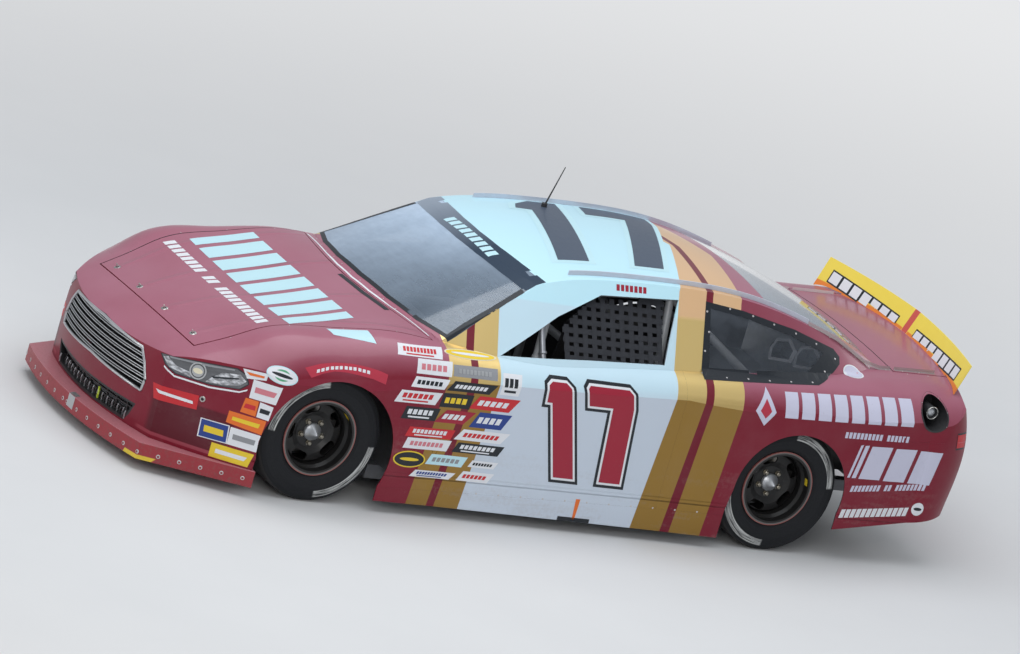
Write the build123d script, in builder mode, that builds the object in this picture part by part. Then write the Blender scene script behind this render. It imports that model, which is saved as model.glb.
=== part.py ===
"""Stock car for oval racing: a composite skin in riveted panels over a tube chassis.

The frame has +Z up, the nose towards -Y and the car's own left side towards +X.
The origin is on the ground, under the middle of the car. Sizes are in millimetres.
A place along the car is given as its distance aft of the front axle.
"""

import os
from math import cos, radians, sin

from build123d import *

os.makedirs("parts", exist_ok=True)

# Driving dimensions of the whole car
wheelbase = 2794.0
front_overhang = 1005.0
rear_overhang = 1140.0
wheel_centre_x = 768.5
front_axle_y = front_overhang - (front_overhang + wheelbase + rear_overhang) / 2

# Skin and seams
skin = 6.0
seam = 0.4
shut_gap = 6.0
clear = 0.3
nose_bottom = 150.0

# Wheels and tyres
tyre_radius = 350.0
tyre_half_width = 148.0
tread_half_width = 118.0
tyre_wall = 14.0
bead_radius = 191.0
seat_radius = 190.5
flange_radius = 208.0
rim_half_width = 128.0
rim_thick = 5.0
drop_radius = 176.0
pad_offset = 20.0
disc_thick = 9.0
pad_radius = 88.0
wheel_windows = 5
spindle_radius = 24.0
running_fit = 0.05
stud_radius = 10.0

# Brakes
rotor_radius = 146.0
rotor_thick = 28.0
rotor_inset = 55.0
brake_gap = 5.5

# Steering
kingpin_x = 655.0
steer_arm = 110.0
link_height = 280.0
link_radius = 10.0
pin_radius = 7.0
column_x = 380.0
column_tilt = 22.0
steering_wheel_centre = (1175.0, 790.0)
steering_wheel_radius = 175.0
column_radius = 24.0
shaft_radius = 12.0

# Wheel arches: centre aft of the front axle, centre height, radius, lower span
arch_front = (15.0, 300.0, 388.0, -366.0, 372.0)
arch_rear = (2826.0, 345.0, 338.0, 2470.0, 3157.0)


def at(aft):
    """The Y of a place that lies this far aft of the front axle."""
    return front_axle_y + aft


def save(part, name):
    part.label = name
    export_step(part, f"parts/{name}.step")


def cross_plane(aft):
    """A plane across the car, with local X to the left side and local Y up."""
    return Plane(origin=(0, at(aft), 0), x_dir=(1, 0, 0), z_dir=(0, -1, 0))


def side_plane(x):
    """A plane along the car, with local X aft from the front axle and local Y up."""
    return Plane(origin=(x, at(0), 0), x_dir=(0, 1, 0), z_dir=(1, 0, 0))


def plan_plane(z):
    """A level plane, with local X to the left side and local Y aft from the front axle."""
    return Plane(origin=(0, at(0), z), x_dir=(1, 0, 0), z_dir=(0, 0, 1))


def side_prism(points, low_x, high_x):
    """A straight block over an outline seen from the side."""
    with BuildPart() as block:
        with BuildSketch(side_plane(low_x)):
            with BuildLine():
                Polyline(*points, close=True)
            make_face()
        extrude(amount=high_x - low_x)
    return block.part


def plan_prism(points, low_z, high_z):
    """A straight block over an outline seen from above."""
    with BuildPart() as block:
        with BuildSketch(plan_plane(low_z)):
            with BuildLine():
                Polyline(*points, close=True)
            make_face()
        extrude(amount=high_z - low_z)
    return block.part


def front_prism(points, low_aft, high_aft):
    """A straight block over an outline seen from the front, as (x, z)."""
    with BuildPart() as block:
        with BuildSketch(cross_plane(high_aft)):
            with BuildLine():
                Polyline(*points, close=True)
            make_face()
        extrude(amount=high_aft - low_aft)
    return block.part


def block(low, high):
    """A box between two corners, each given as (x, aft, z)."""
    with BuildPart() as body:
        with Locations((low[0], at(low[1]), low[2])):
            Box(
                high[0] - low[0],
                high[1] - low[1],
                high[2] - low[2],
                align=(Align.MIN, Align.MIN, Align.MIN),
            )
    return body.part


bend_swell = 0.8


def tube(points, radius):
    """A round bar through points, each given as (x, aft, z), with a slightly fuller bend."""
    placed = [Vector(x, at(aft), z) for x, aft, z in points]
    with BuildPart() as bar:
        for start, end in zip(placed, placed[1:]):
            with Locations(Plane(origin=start, z_dir=end - start).location):
                Cylinder(radius, (end - start).length, align=(Align.CENTER, Align.CENTER, Align.MIN))
        for bend in placed[1:-1]:
            with Locations(bend):
                Sphere(radius + bend_swell)
    return bar.part


def mirrored(points):
    return [(-x, aft, z) for x, aft, z in points]


# Top form, across the car: aft, centre height, edge half-width, edge height, crease height
top_rows = [
    (-1010, 540, 560, 500, 360),
    (-840, 628, 570, 582, 440),
    (-665, 712, 610, 672, 500),
    (-500, 772, 650, 748, 560),
    (-350, 815, 680, 828, 640),
    (0, 870, 700, 886, 700),
    (350, 925, 722, 922, 735),
    (700, 963, 785, 898, 752),
    (1000, 975, 805, 886, 762),
    (1500, 982, 812, 898, 772),
    (2000, 986, 812, 915, 790),
    (2500, 990, 800, 932, 805),
    (3000, 992, 745, 952, 805),
    (3363, 996, 700, 964, 800),
    (3760, 1002, 700, 970, 798),
    (3970, 1004, 700, 972, 796),
]
crease_x = 952.0
top_reach = 1010.0
form_floor = 40.0

# Side form, level outlines: height, nose, nose at its corner, half-widths at the front
# corner, front wheel, door and rear wheel, then tail at its corner and tail
plan_rows = [
    (40, -905, -800, 950, 960, 950, 957, 3825, 3862),
    (300, -925, -815, 955, 966, 950, 962, 3850, 3885),
    (450, -930, -815, 957, 968, 950, 964, 3870, 3902),
    (650, -905, -790, 955, 970, 950, 964, 3880, 3905),
    (850, -840, -700, 950, 965, 950, 960, 3835, 3890),
    (1080, -700, -560, 945, 955, 950, 950, 3760, 3858),
]
nose_corner_x = 600.0
nose_bulge = 26.0
front_side_aft = -350.0
door_front_aft = 700.0
door_rear_aft = 2080.0
rear_side_aft = 3610.0
rear_side_in = 25.0
tail_corner_x = 872.0

# Cabin form, across the car: aft, belt half-width, roof edge half-width, edge height, centre height
cabin_rows = [
    (300, 880, 655, 1195, 1255),
    (1250, 868, 628, 1248, 1303),
    (1700, 864, 606, 1294, 1336),
    (2100, 856, 600, 1296, 1338),
    (2450, 848, 596, 1270, 1316),
    (2750, 832, 590, 1208, 1258),
    (3050, 806, 572, 1116, 1166),
    (3440, 740, 520, 948, 985),
]
cabin_floor = 860.0
glass_slope = 27.3
glass_radius = 2700.0
glass_base = (467.0, 950.0)


def top_form(inset):
    with BuildPart() as form:
        for aft, centre, edge_x, edge_z, crease in top_rows:
            with BuildSketch(cross_plane(aft)):
                with BuildLine():
                    crown = ThreePointArc(
                        (-edge_x, edge_z - inset), (0, centre - inset), (edge_x, edge_z - inset)
                    )
                    left = TangentArc(
                        crown @ 1, (crease_x - inset, crease - inset), tangent=crown % 1
                    )
                    right = TangentArc(
                        crown @ 0, (inset - crease_x, crease - inset), tangent=-(crown % 0)
                    )
                    fall = 3.0 * (top_reach - crease_x)
                    Polyline(
                        left @ 1,
                        (top_reach - inset, crease - inset - fall),
                        (top_reach - inset, form_floor - 2 * inset),
                        (inset - top_reach, form_floor - 2 * inset),
                        (inset - top_reach, crease - inset - fall),
                        right @ 1,
                    )
                make_face()
        loft()
    return form.part


def side_form(inset):
    with BuildPart() as form:
        for height, nose, nose_end, front, wheel, door, rear, tail_end, tail in plan_rows:
            corner_x = nose_corner_x - inset / 2
            tail_x = tail_corner_x - inset
            rear_x = rear - rear_side_in - inset
            level = height - 2 * inset if height < 100 else height
            with BuildSketch(plan_plane(level)):
                with BuildLine():
                    ThreePointArc(
                        (-corner_x, nose_end + inset), (0, nose + inset), (corner_x, nose_end + inset)
                    )
                    for hand in (1, -1):
                        ThreePointArc(
                            (hand * corner_x, nose_end + inset),
                            (
                                hand * (corner_x + front - inset + nose_bulge) / 2,
                                (nose_end + inset + front_side_aft - nose_bulge) / 2,
                            ),
                            (hand * (front - inset), front_side_aft),
                        )
                        ThreePointArc(
                            (hand * (front - inset), front_side_aft),
                            (hand * (wheel - inset), 0),
                            (hand * (door - inset), door_front_aft),
                        )
                        Line(
                            (hand * (door - inset), door_front_aft),
                            (hand * (door - inset), door_rear_aft),
                        )
                        ThreePointArc(
                            (hand * (door - inset), door_rear_aft),
                            (hand * (rear - inset), 2850),
                            (hand * rear_x, rear_side_aft),
                        )
                        ThreePointArc(
                            (hand * rear_x, rear_side_aft),
                            (
                                hand * (0.3 * tail_x + 0.7 * rear_x),
                                0.3 * rear_side_aft + 0.7 * (tail_end - inset) + 8,
                            ),
                            (hand * tail_x, tail_end - inset),
                        )
                    ThreePointArc(
                        (-tail_x, tail_end - inset), (0, tail - inset), (tail_x, tail_end - inset)
                    )
                make_face()
        loft()
    return form.part


def glass_frame():
    """A plane on the windshield, with local X to the left side and local Y up the slope."""
    slope = radians(glass_slope)
    return Plane(
        origin=(0, at(glass_base[0]), glass_base[1]),
        x_dir=(1, 0, 0),
        z_dir=(0, -sin(slope), cos(slope)),
    )


def glass_round(inset):
    """The wide tilted cylinder whose upper side is the windshield."""
    frame = glass_frame()
    axis = Plane(
        origin=frame.origin - frame.z_dir * glass_radius - frame.y_dir * 2500,
        x_dir=(1, 0, 0),
        z_dir=frame.y_dir,
    )
    with BuildPart() as form:
        with Locations(axis.location):
            Cylinder(glass_radius - inset, 9000, align=(Align.CENTER, Align.CENTER, Align.MIN))
    return form.part


def cabin_form(inset):
    with BuildPart() as form:
        for aft, belt_x, edge_x, edge_z, centre_z in cabin_rows:
            with BuildSketch(cross_plane(aft)):
                with BuildLine():
                    roof = ThreePointArc(
                        (-edge_x + inset, edge_z - inset),
                        (0, centre_z - inset),
                        (edge_x - inset, edge_z - inset),
                    )
                    lean = (belt_x - edge_x) / (edge_z - cabin_floor)
                    foot_x = belt_x + lean * 3 * inset - inset
                    Polyline(
                        roof @ 1,
                        (foot_x, cabin_floor - 4 * inset),
                        (-foot_x, cabin_floor - 4 * inset),
                        roof @ 0,
                    )
                make_face()
        loft()
        add(glass_round(inset), mode=Mode.INTERSECT)
    return form.part


def arch_cutter(arch):
    centre, height, radius, low_aft, high_aft = arch
    with BuildPart() as cutter:
        with BuildSketch(side_plane(-1100)):
            with Locations((centre, height)):
                Circle(radius)
            with BuildLine():
                Polyline(
                    (centre - radius + 14, height + 100),
                    (low_aft, height - 130),
                    (low_aft, -50),
                    (high_aft, -50),
                    (high_aft, height - 130),
                    (centre + radius - 14, height + 100),
                    close=True,
                )
            make_face()
        extrude(amount=2200)
    return cutter.part


# The outer forms and the two shells
with BuildPart() as lower_outer:
    add(top_form(0))
    add(side_form(0), mode=Mode.INTERSECT)

with BuildPart() as lower_inner:
    add(top_form(skin))
    add(side_form(skin), mode=Mode.INTERSECT)

cabin_outer = cabin_form(0)
cabin_inner = cabin_form(skin)

# The lower edge of the skin: high behind the splitter, low between the wheels, rising aft
bottom_line = [
    (-1100, nose_bottom + seam),
    (0, nose_bottom + seam),
    (200, 66),
    (2600, 62),
    (3157, 176),
    (3980, 316),
    (3980, 1500),
    (-1100, 1500),
]
with BuildPart() as lower_shell:
    add(lower_outer.part)
    add(lower_inner.part, mode=Mode.SUBTRACT)
    add(cabin_inner, mode=Mode.SUBTRACT)
    add(side_prism(bottom_line, -1100, 1100), mode=Mode.INTERSECT)
    add(arch_cutter(arch_front), mode=Mode.SUBTRACT)
    add(arch_cutter(arch_rear), mode=Mode.SUBTRACT)

with BuildPart() as cabin_shell:
    add(cabin_outer)
    add(cabin_inner, mode=Mode.SUBTRACT)
    add(top_form(-seam), mode=Mode.SUBTRACT)

# Seam lines seen from the side, each as (aft, height)
nose_seam = [(-340, 0), (-340, 560), (-590, 700), (-700, 760), (-700, 1500)]
door_front_seam = 600.0
door_rear_seam = 2060.0
bumper_seam = [(3420, 0), (3420, 700), (3700, 720), (3800, 905), (4100, 905), (4100, 0)]

# The hood and deck lid outlines seen from above
hood_front = (-716.0, -684.0, 575.0)
hood_rear = (440.0, 562.0, 772.0)
deck_lid_front = 3482.0
deck_lid_half = 600.0
deck_lid_bottom = 915.0


def hood_outline(grow):
    """The hood seen from above, larger all round by grow."""
    front_mid, front_side, front_x = hood_front
    rear_mid, rear_side, rear_x = hood_rear
    with BuildPart() as body:
        with BuildSketch(plan_plane(400)):
            with BuildLine():
                ThreePointArc(
                    (-front_x - grow, front_side - grow),
                    (0, front_mid - grow),
                    (front_x + grow, front_side - grow),
                )
                Line((front_x + grow, front_side - grow), (rear_x + grow, rear_side + grow))
                ThreePointArc(
                    (rear_x + grow, rear_side + grow),
                    (0, rear_mid + grow),
                    (-rear_x - grow, rear_side + grow),
                )
                Line((-rear_x - grow, rear_side + grow), (-front_x - grow, front_side - grow))
            make_face()
        extrude(amount=900)
    return body.part


def deck_lid_outline(grow):
    return block(
        (-deck_lid_half - grow, deck_lid_front - grow, deck_lid_bottom - grow),
        (deck_lid_half + grow, 4200, 1400),
    )


# Upper and lower openings of the nose, seen from the front as (x, height)
grille_half = [(0, 590), (399, 572), (452, 505), (490, 425), (480, 351), (0, 372)]
lower_grille_half = [(0, 268), (463, 277), (430, 205), (394, 162), (0, 156)]


def both_halves(half):
    return half + [(-x, z) for x, z in reversed(half) if x]


grille_cut = front_prism(both_halves(grille_half), -1200, -600)
lower_grille_cut = front_prism(both_halves(lower_grille_half), -1200, -600)



def ledge(low_x, high_x, start, panel_edge, end, hand):
    """A ledge fixed under a panel's edge, on which a lid rests."""
    low, high = sorted((low_x * hand, high_x * hand))
    with BuildPart() as body:
        with BuildPart(mode=Mode.PRIVATE) as root:
            add(block((low, start, 300), (high, panel_edge, 1300)))
            add(top_form(skin - 2), mode=Mode.INTERSECT)
        with BuildPart(mode=Mode.PRIVATE) as tongue:
            add(block((low, start, 300), (high, end, 1300)))
            add(top_form(skin + clear), mode=Mode.INTERSECT)
        add(root.part)
        add(tongue.part)
        add(top_form(skin + ledge_thick), mode=Mode.SUBTRACT)
    return body.part


ledge_thick = 8.0
nose_block = [(-1100, 0)] + nose_seam + [(-1100, 1500)]
rest_block = [(4200, 0)] + [(a + seam, z) for a, z in nose_seam] + [(4200, 1500)]

with BuildPart() as nose:
    add(lower_shell.part)
    add(side_prism(nose_block, -1100, 1100), mode=Mode.INTERSECT)
    add(hood_outline(shut_gap), mode=Mode.SUBTRACT)
    add(grille_cut, mode=Mode.SUBTRACT)
    add(lower_grille_cut, mode=Mode.SUBTRACT)
    for hand in (1, -1):
        add(ledge(130, 180, -760, -722, -690, hand))
        add(ledge(440, 490, -745, -703, -672, hand))
save(nose.part, "nose")

with BuildPart() as hood:
    add(lower_shell.part)
    add(hood_outline(0), mode=Mode.INTERSECT)
save(hood.part, "hood")

with BuildPart() as fixed_skin:
    add(lower_shell.part)
    add(side_prism(rest_block, -1100, 1100), mode=Mode.INTERSECT)
    add(hood_outline(shut_gap), mode=Mode.SUBTRACT)

# The cowl: the narrow fixed strip between the hood and the windshield
cowl_half = 742.0
with BuildPart() as cowl:
    add(fixed_skin.part)
    add(block((-cowl_half, 380, 860), (cowl_half, 598, 1200)), mode=Mode.INTERSECT)
save(cowl.part, "cowl")

for name, hand in (("left", 1), ("right", -1)):
    low_x, high_x = sorted((hand * 1100, hand * 5))
    with BuildPart() as fender:
        add(fixed_skin.part)
        add(
            side_prism(
                [(-900, 0), (door_front_seam, 0), (door_front_seam, 1500), (-900, 1500)],
                low_x,
                high_x,
            ),
            mode=Mode.INTERSECT,
        )
        add(
            block((-cowl_half - seam, 380, 860), (cowl_half + seam, 700, 1200)), mode=Mode.SUBTRACT
        )
        add(
            side_prism([(300, 0), (300, 139.8), (2500, 193.6), (2500, 0)], low_x, high_x),
            mode=Mode.SUBTRACT,
        )
    save(fender.part, f"fender_{name}")

# The middle and rear skin
with BuildPart() as rear_skin:
    add(fixed_skin.part)
    add(block((-1100, door_front_seam + seam, 0), (1100, 4200, 1500)), mode=Mode.INTERSECT)
    add(side_prism([(300, 0), (300, 139.8), (2600, 197.0), (2600, 0)], -1100, 1100), mode=Mode.SUBTRACT)

with BuildPart() as deck_lid:
    add(rear_skin.part)
    add(deck_lid_outline(0), mode=Mode.INTERSECT)
save(deck_lid.part, "deck_lid")

with BuildPart() as rear_bumper:
    add(rear_skin.part)
    add(side_prism(bumper_seam, -1100, 1100), mode=Mode.INTERSECT)
    add(deck_lid_outline(shut_gap), mode=Mode.SUBTRACT)
save(rear_bumper.part, "rear_bumper")

with BuildPart() as deck_panel:
    add(rear_skin.part)
    add(
        block((-deck_lid_half, 3200, 900), (deck_lid_half, deck_lid_front - shut_gap, 1200)),
        mode=Mode.INTERSECT,
    )
with BuildPart() as deck_frame:
    add(deck_panel.part)
    for hand in (1, -1):
        add(ledge(220, 280, deck_lid_front - 45, deck_lid_front - 8, deck_lid_front + 25, hand))
save(deck_frame.part, "deck_panel")

# The filler sits in a round recess of the left quarter panel
filler_place = (3610.0, 859.0)
filler_radius = 80.0

bumper_clear = [(3420 - seam, -10), (3420 - seam, 700 + seam), (3700, 720 + seam)]
bumper_clear += [(3800 - seam, 905 + seam), (4200, 905 + seam), (4200, -10)]
for name, hand in (("left", 1), ("right", -1)):
    low_x, high_x = sorted((hand * 1100, hand * 5))
    with BuildPart() as door:
        add(rear_skin.part)
        add(block((low_x, 300, 0), (high_x, door_rear_seam, 1500)), mode=Mode.INTERSECT)
    save(door.part, f"door_{name}")
    with BuildPart() as quarter:
        add(rear_skin.part)
        add(block((low_x, door_rear_seam + seam, 0), (high_x, 4200, 1500)), mode=Mode.INTERSECT)
        add(side_prism(bumper_clear, low_x, high_x), mode=Mode.SUBTRACT)
        add(deck_lid_outline(shut_gap), mode=Mode.SUBTRACT)
        add(
            block((-deck_lid_half - seam, 3100, 900), (deck_lid_half + seam, 3600, 1200)),
            mode=Mode.SUBTRACT,
        )
        if hand > 0:
            with Locations((800, at(filler_place[0]), filler_place[1])):
                Cylinder(filler_radius + clear, 400, rotation=(0, 90, 0), mode=Mode.SUBTRACT)
    save(quarter.part, f"quarter_{name}")

with BuildPart() as side_skirts:
    add(lower_shell.part)
    add(side_prism([(300, 0), (300, 139.4), (2600, 196.6), (2600, 0)], -1100, 1100), mode=Mode.INTERSECT)
save(side_skirts.part, "side_skirts")

# Window openings seen from the side, as (aft, height)
side_opening = [(955, 884), (1481, 914), (1948, 930), (2035, 1238), (1558, 1220), (1295, 1099)]
quarter_opening = [(2210, 926), (2222, 1232), (2440, 1206), (2760, 1136), (3020, 1052), (2872, 948)]
quarter_glass_line = [
    (2210.4, 926.4),
    (2222.4, 1231.5),
    (2440, 1205.5),
    (2760, 1135.5),
    (3019.3, 1051.8),
    (2871.8, 948.4),
]
side_cut_x = 560.0


def windshield_prism(shrink):
    """The windshield outline, drawn on its own slope."""
    with BuildPart() as body:
        with BuildSketch(glass_frame().offset(-150)):
            with BuildLine():
                ThreePointArc((-768 + shrink, 152 + shrink), (0, 30 + shrink), (768 - shrink, 152 + shrink))
                Line((768 - shrink, 152 + shrink), (622 - shrink, 800 - shrink))
                ThreePointArc((622 - shrink, 800 - shrink), (0, 742 - shrink), (-622 + shrink, 800 - shrink))
                Line((-622 + shrink, 800 - shrink), (-768 + shrink, 152 + shrink))
            make_face()
        extrude(amount=300)
    return body.part


def backlight_prism(shrink):
    points = [(-545, 2640), (545, 2640), (462, 3360), (-462, 3360)]
    points = [(x - shrink * x / abs(x), aft + (shrink if aft < 3000 else -shrink)) for x, aft in points]
    return plan_prism(points, 900, 1500)


with BuildPart() as greenhouse:
    add(cabin_shell.part)
    add(windshield_prism(0), mode=Mode.SUBTRACT)
    add(backlight_prism(0), mode=Mode.SUBTRACT)
    for low_x, high_x in ((side_cut_x, 1100), (-1100, -side_cut_x)):
        add(side_prism(side_opening, low_x, high_x), mode=Mode.SUBTRACT)
        add(side_prism(quarter_opening, low_x, high_x), mode=Mode.SUBTRACT)
save(greenhouse.part, "greenhouse")

with BuildPart() as windshield:
    add(cabin_shell.part)
    add(windshield_prism(clear), mode=Mode.INTERSECT)
save(windshield.part, "windshield")

with BuildPart() as rear_window:
    add(cabin_shell.part)
    add(backlight_prism(clear), mode=Mode.INTERSECT)
save(rear_window.part, "rear_window")

with BuildPart() as quarter_windows:
    for low_x, high_x in ((side_cut_x, 1100), (-1100, -side_cut_x)):
        with BuildPart(mode=Mode.PRIVATE) as pane:
            add(cabin_shell.part)
            add(side_prism(quarter_glass_line, low_x, high_x), mode=Mode.INTERSECT)
        add(pane.part)
save(quarter_windows.part, "quarter_windows")

# Roof rails: two upright strips along the roof edges
rail_height = 22.0
rail_low_x = 560.0
with BuildPart() as roof_rails:
    add(cabin_form(-rail_height))
    add(cabin_form(-clear), mode=Mode.SUBTRACT)
    with BuildPart(mode=Mode.PRIVATE) as rail_zone:
        add(block((rail_low_x, 1380, 1000), (rail_low_x + 5, 2900, 1600)))
        add(block((-rail_low_x - 5, 1380, 1000), (-rail_low_x, 2900, 1600)))
    add(rail_zone.part, mode=Mode.INTERSECT)
save(roof_rails.part, "roof_rails")

# The splitter: an upright lip with a flat shelf behind it
lip_bottom = 60.0
shelf_thick = 5.0
lip_rows = ((-1005, -905, 688, -352, 957), (-995, -895, 682, -345, 949), (-860, -770, 620, -330, 800))


def lip_outline(row, low_z, high_z):
    nose, corner_aft, corner_x, end_aft, end_x = row
    with BuildPart() as body:
        with BuildSketch(plan_plane(low_z)):
            with BuildLine():
                ThreePointArc((-corner_x, corner_aft), (0, nose), (corner_x, corner_aft))
                Polyline(
                    (corner_x, corner_aft),
                    (end_x, end_aft),
                    (end_x, end_aft + 60),
                    (-end_x, end_aft + 60),
                    (-end_x, end_aft),
                    (-corner_x, corner_aft),
                )
            make_face()
        extrude(amount=high_z - low_z)
    return body.part


with BuildPart() as splitter:
    add(lip_outline(lip_rows[0], lip_bottom, nose_bottom))
    add(lip_outline(lip_rows[1], lip_bottom - 10, nose_bottom - shelf_thick), mode=Mode.SUBTRACT)
    add(lip_outline(lip_rows[2], lip_bottom - 10, nose_bottom + 10), mode=Mode.SUBTRACT)
    add(block((-1100, -352, 0), (1100, 200, 400)), mode=Mode.SUBTRACT)
save(splitter.part, "splitter")

# Grilles: a frame ring with level bars behind the nose openings
grille_bars = 6


def shrink_half(half, amount):
    mid_z = sum(z for _, z in half) / len(half)
    return [(max(x - amount, 0), z + (amount if z < mid_z else -amount)) for x, z in half]


with BuildPart() as grille:
    with BuildPart(mode=Mode.PRIVATE) as grille_solid:
        add(front_prism(both_halves(shrink_half(grille_half, clear)), -940, -840))
        add(side_form(14), mode=Mode.SUBTRACT)
        add(side_form(2), mode=Mode.INTERSECT)
    with BuildPart(mode=Mode.PRIVATE) as grille_core:
        add(front_prism(both_halves(shrink_half(grille_half, 14)), -1000, -700))
        for row in range(grille_bars):
            level = 389 + row * 33.0
            add(block((-520, -1100, level), (520, -600, level + 9)), mode=Mode.SUBTRACT)
    add(grille_solid.part)
    add(grille_core.part, mode=Mode.SUBTRACT)
save(grille.part, "grille")

with BuildPart() as lower_grille:
    with BuildPart(mode=Mode.PRIVATE) as lower_solid:
        add(front_prism(both_halves(shrink_half(lower_grille_half, clear)), -1000, -780))
        add(side_form(40), mode=Mode.SUBTRACT)
        add(side_form(2), mode=Mode.INTERSECT)
    with BuildPart(mode=Mode.PRIVATE) as lower_core:
        add(front_prism(both_halves(shrink_half(lower_grille_half, 12)), -1000, -700))
        for row in range(3):
            level = 180 + row * 26.0
            add(block((-520, -1100, level), (520, -600, level + 6)), mode=Mode.SUBTRACT)
        for column in range(-4, 5):
            add(
                block((column * 92.0 - 3, -1100, 100), (column * 92.0 + 3, -600, 300)),
                mode=Mode.SUBTRACT,
            )
    with BuildPart(mode=Mode.PRIVATE) as lower_mouth:
        add(front_prism(both_halves(shrink_half(lower_grille_half, 12)), -1010, -700))
        add(side_form(26), mode=Mode.SUBTRACT)
    add(lower_solid.part)
    add(lower_core.part, mode=Mode.SUBTRACT)
    add(lower_mouth.part, mode=Mode.SUBTRACT)
save(lower_grille.part, "lower_grille")

# The spoiler: an upright blade, bowed in plan, that stands on the deck lid
spoiler_rows = ((940, 3845, 3752, 800), (1140, 3928, 3822, 800))
spoiler_thick = 6.0
with BuildPart() as spoiler:
    for level, mid, side, half in spoiler_rows:
        with BuildSketch(plan_plane(level)):
            with BuildLine():
                ThreePointArc((-half, side), (0, mid), (half, side))
                Line((half, side), (half, side + spoiler_thick))
                ThreePointArc(
                    (half, side + spoiler_thick), (0, mid + spoiler_thick), (-half, side + spoiler_thick)
                )
                Line((-half, side + spoiler_thick), (-half, side))
            make_face()
    loft(ruled=True)
    blade_top = [(-900, 1116), (0, 1131), (900, 1116), (900, 1300), (-900, 1300)]
    add(front_prism(blade_top, 3600, 4100), mode=Mode.SUBTRACT)
    add(top_form(-clear), mode=Mode.SUBTRACT)
    with BuildPart(mode=Mode.PRIVATE) as wing_gap:
        add(top_form(-shut_gap))
        add(block((-590, 3000, 800), (590, 4200, 1200)), mode=Mode.SUBTRACT)
    add(wing_gap.part, mode=Mode.SUBTRACT)
save(spoiler.part, "spoiler")

# The filler recess: a cup let into the left quarter panel, with the fuel neck in it
with BuildPart() as fuel_filler:
    with Locations((852, at(filler_place[0]), filler_place[1])):
        Cylinder(filler_radius, 76, rotation=(0, 90, 0), align=(Align.CENTER, Align.CENTER, Align.MIN))
    with Locations((856, at(filler_place[0]), filler_place[1])):
        Cylinder(
            filler_radius - 4,
            90,
            rotation=(0, 90, 0),
            align=(Align.CENTER, Align.CENTER, Align.MIN),
            mode=Mode.SUBTRACT,
        )
    with Locations((852, at(filler_place[0]), filler_place[1])):
        Cylinder(34, 58, rotation=(0, 90, 0), align=(Align.CENTER, Align.CENTER, Align.MIN))
    with Locations((880, at(filler_place[0]), filler_place[1])):
        Cylinder(
            27,
            60,
            rotation=(0, 90, 0),
            align=(Align.CENTER, Align.CENTER, Align.MIN),
            mode=Mode.SUBTRACT,
        )
save(fuel_filler.part, "fuel_filler")

# The whip on the roof
antenna_place = (-440.0, 1745.0)
with BuildPart() as antenna:
    foot = Vector(antenna_place[0], at(antenna_place[1]), 1316)
    tip = Vector(antenna_place[0], at(antenna_place[1] + 62), 1548)
    with Locations(Plane(origin=foot, z_dir=tip - foot).location):
        Cone(5, 2.5, (tip - foot).length, align=(Align.CENTER, Align.CENTER, Align.MIN))
    with Locations(foot):
        Cylinder(16, 40)
    add(cabin_form(-clear), mode=Mode.SUBTRACT)
save(antenna.part, "antenna")

# Chassis: side rails with front and rear clips
rail_bottom = 100.0
rail_top = 175.0
with BuildPart() as frame_rails:
    for hand in (1, -1):
        for low, high in (
            ((640, 430, rail_bottom), (715, 2450, rail_top)),
            ((300, 430, rail_bottom), (715, 500, rail_top)),
            ((300, -750, 160), (365, 500, 235)),
            ((300, -92, 160), (365, 92, 520)),
            ((280 + clear, -50, 300), (310, 50, 360)),
            ((305, -steer_arm - 18, link_height - 18), (335, -80, link_height + 18)),
            ((430, 2380, rail_bottom), (495, 2450, 560)),
            ((430, 2380, 500), (495, 3060, 560)),
            ((430, 3000, 240), (495, 3060, 560)),
            ((430, 3000, 240), (495, 3800, 300)),
        ):
            if hand > 0:
                add(block(low, high))
            else:
                add(block((-high[0], low[1], low[2]), (-low[0], high[1], high[2])))
    add(block((-430, -800, 170), (430, -750, 240)))
    add(block((-365, -50, 130), (365, 50, 190)))
    add(block((-715, 2380, rail_bottom), (715, 2450, rail_top)))
    add(block((-495, 3120, 240), (495, 3180, 300)))
    add(block((-495, 3620, 240), (495, 3680, 300)))
    add(block((-520, 3780, 240), (520, 3830, 300)))
    with Locations((0, at(-steer_arm), link_height)):
        Cylinder(link_radius + running_fit, 700, rotation=(0, 90, 0), mode=Mode.SUBTRACT)
save(frame_rails.part, "frame_rails")

# Floor: a flat pan with a tunnel, a firewall and a raised part over the rear axle
floor_thick = 4.0
floor_low = rail_top + clear
tunnel_half = 132.0
tunnel_top = 404.0
firewall_aft = 500.4
with BuildPart() as floor_pan:
    add(block((-943.4, firewall_aft, floor_low), (943.4, 2380, floor_low + floor_thick)))
    add(block((-860, firewall_aft, floor_low), (860, firewall_aft + floor_thick, 860)))
    add(block((-600, 2376, floor_low), (600, 2380, 604)))
    add(block((-600, 2376, 600), (600, 3300, 604)))
    add(block((-600, 3296, 600), (600, 3300, 930)))
    add(block((-tunnel_half, firewall_aft, floor_low), (tunnel_half, 2380, tunnel_top)))
    add(
        block(
            (-tunnel_half + 4, firewall_aft - 10, floor_low - 10),
            (tunnel_half - 4, 2400, tunnel_top - 4),
        ),
        mode=Mode.SUBTRACT,
    )
save(floor_pan.part, "floor_pan")

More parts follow.
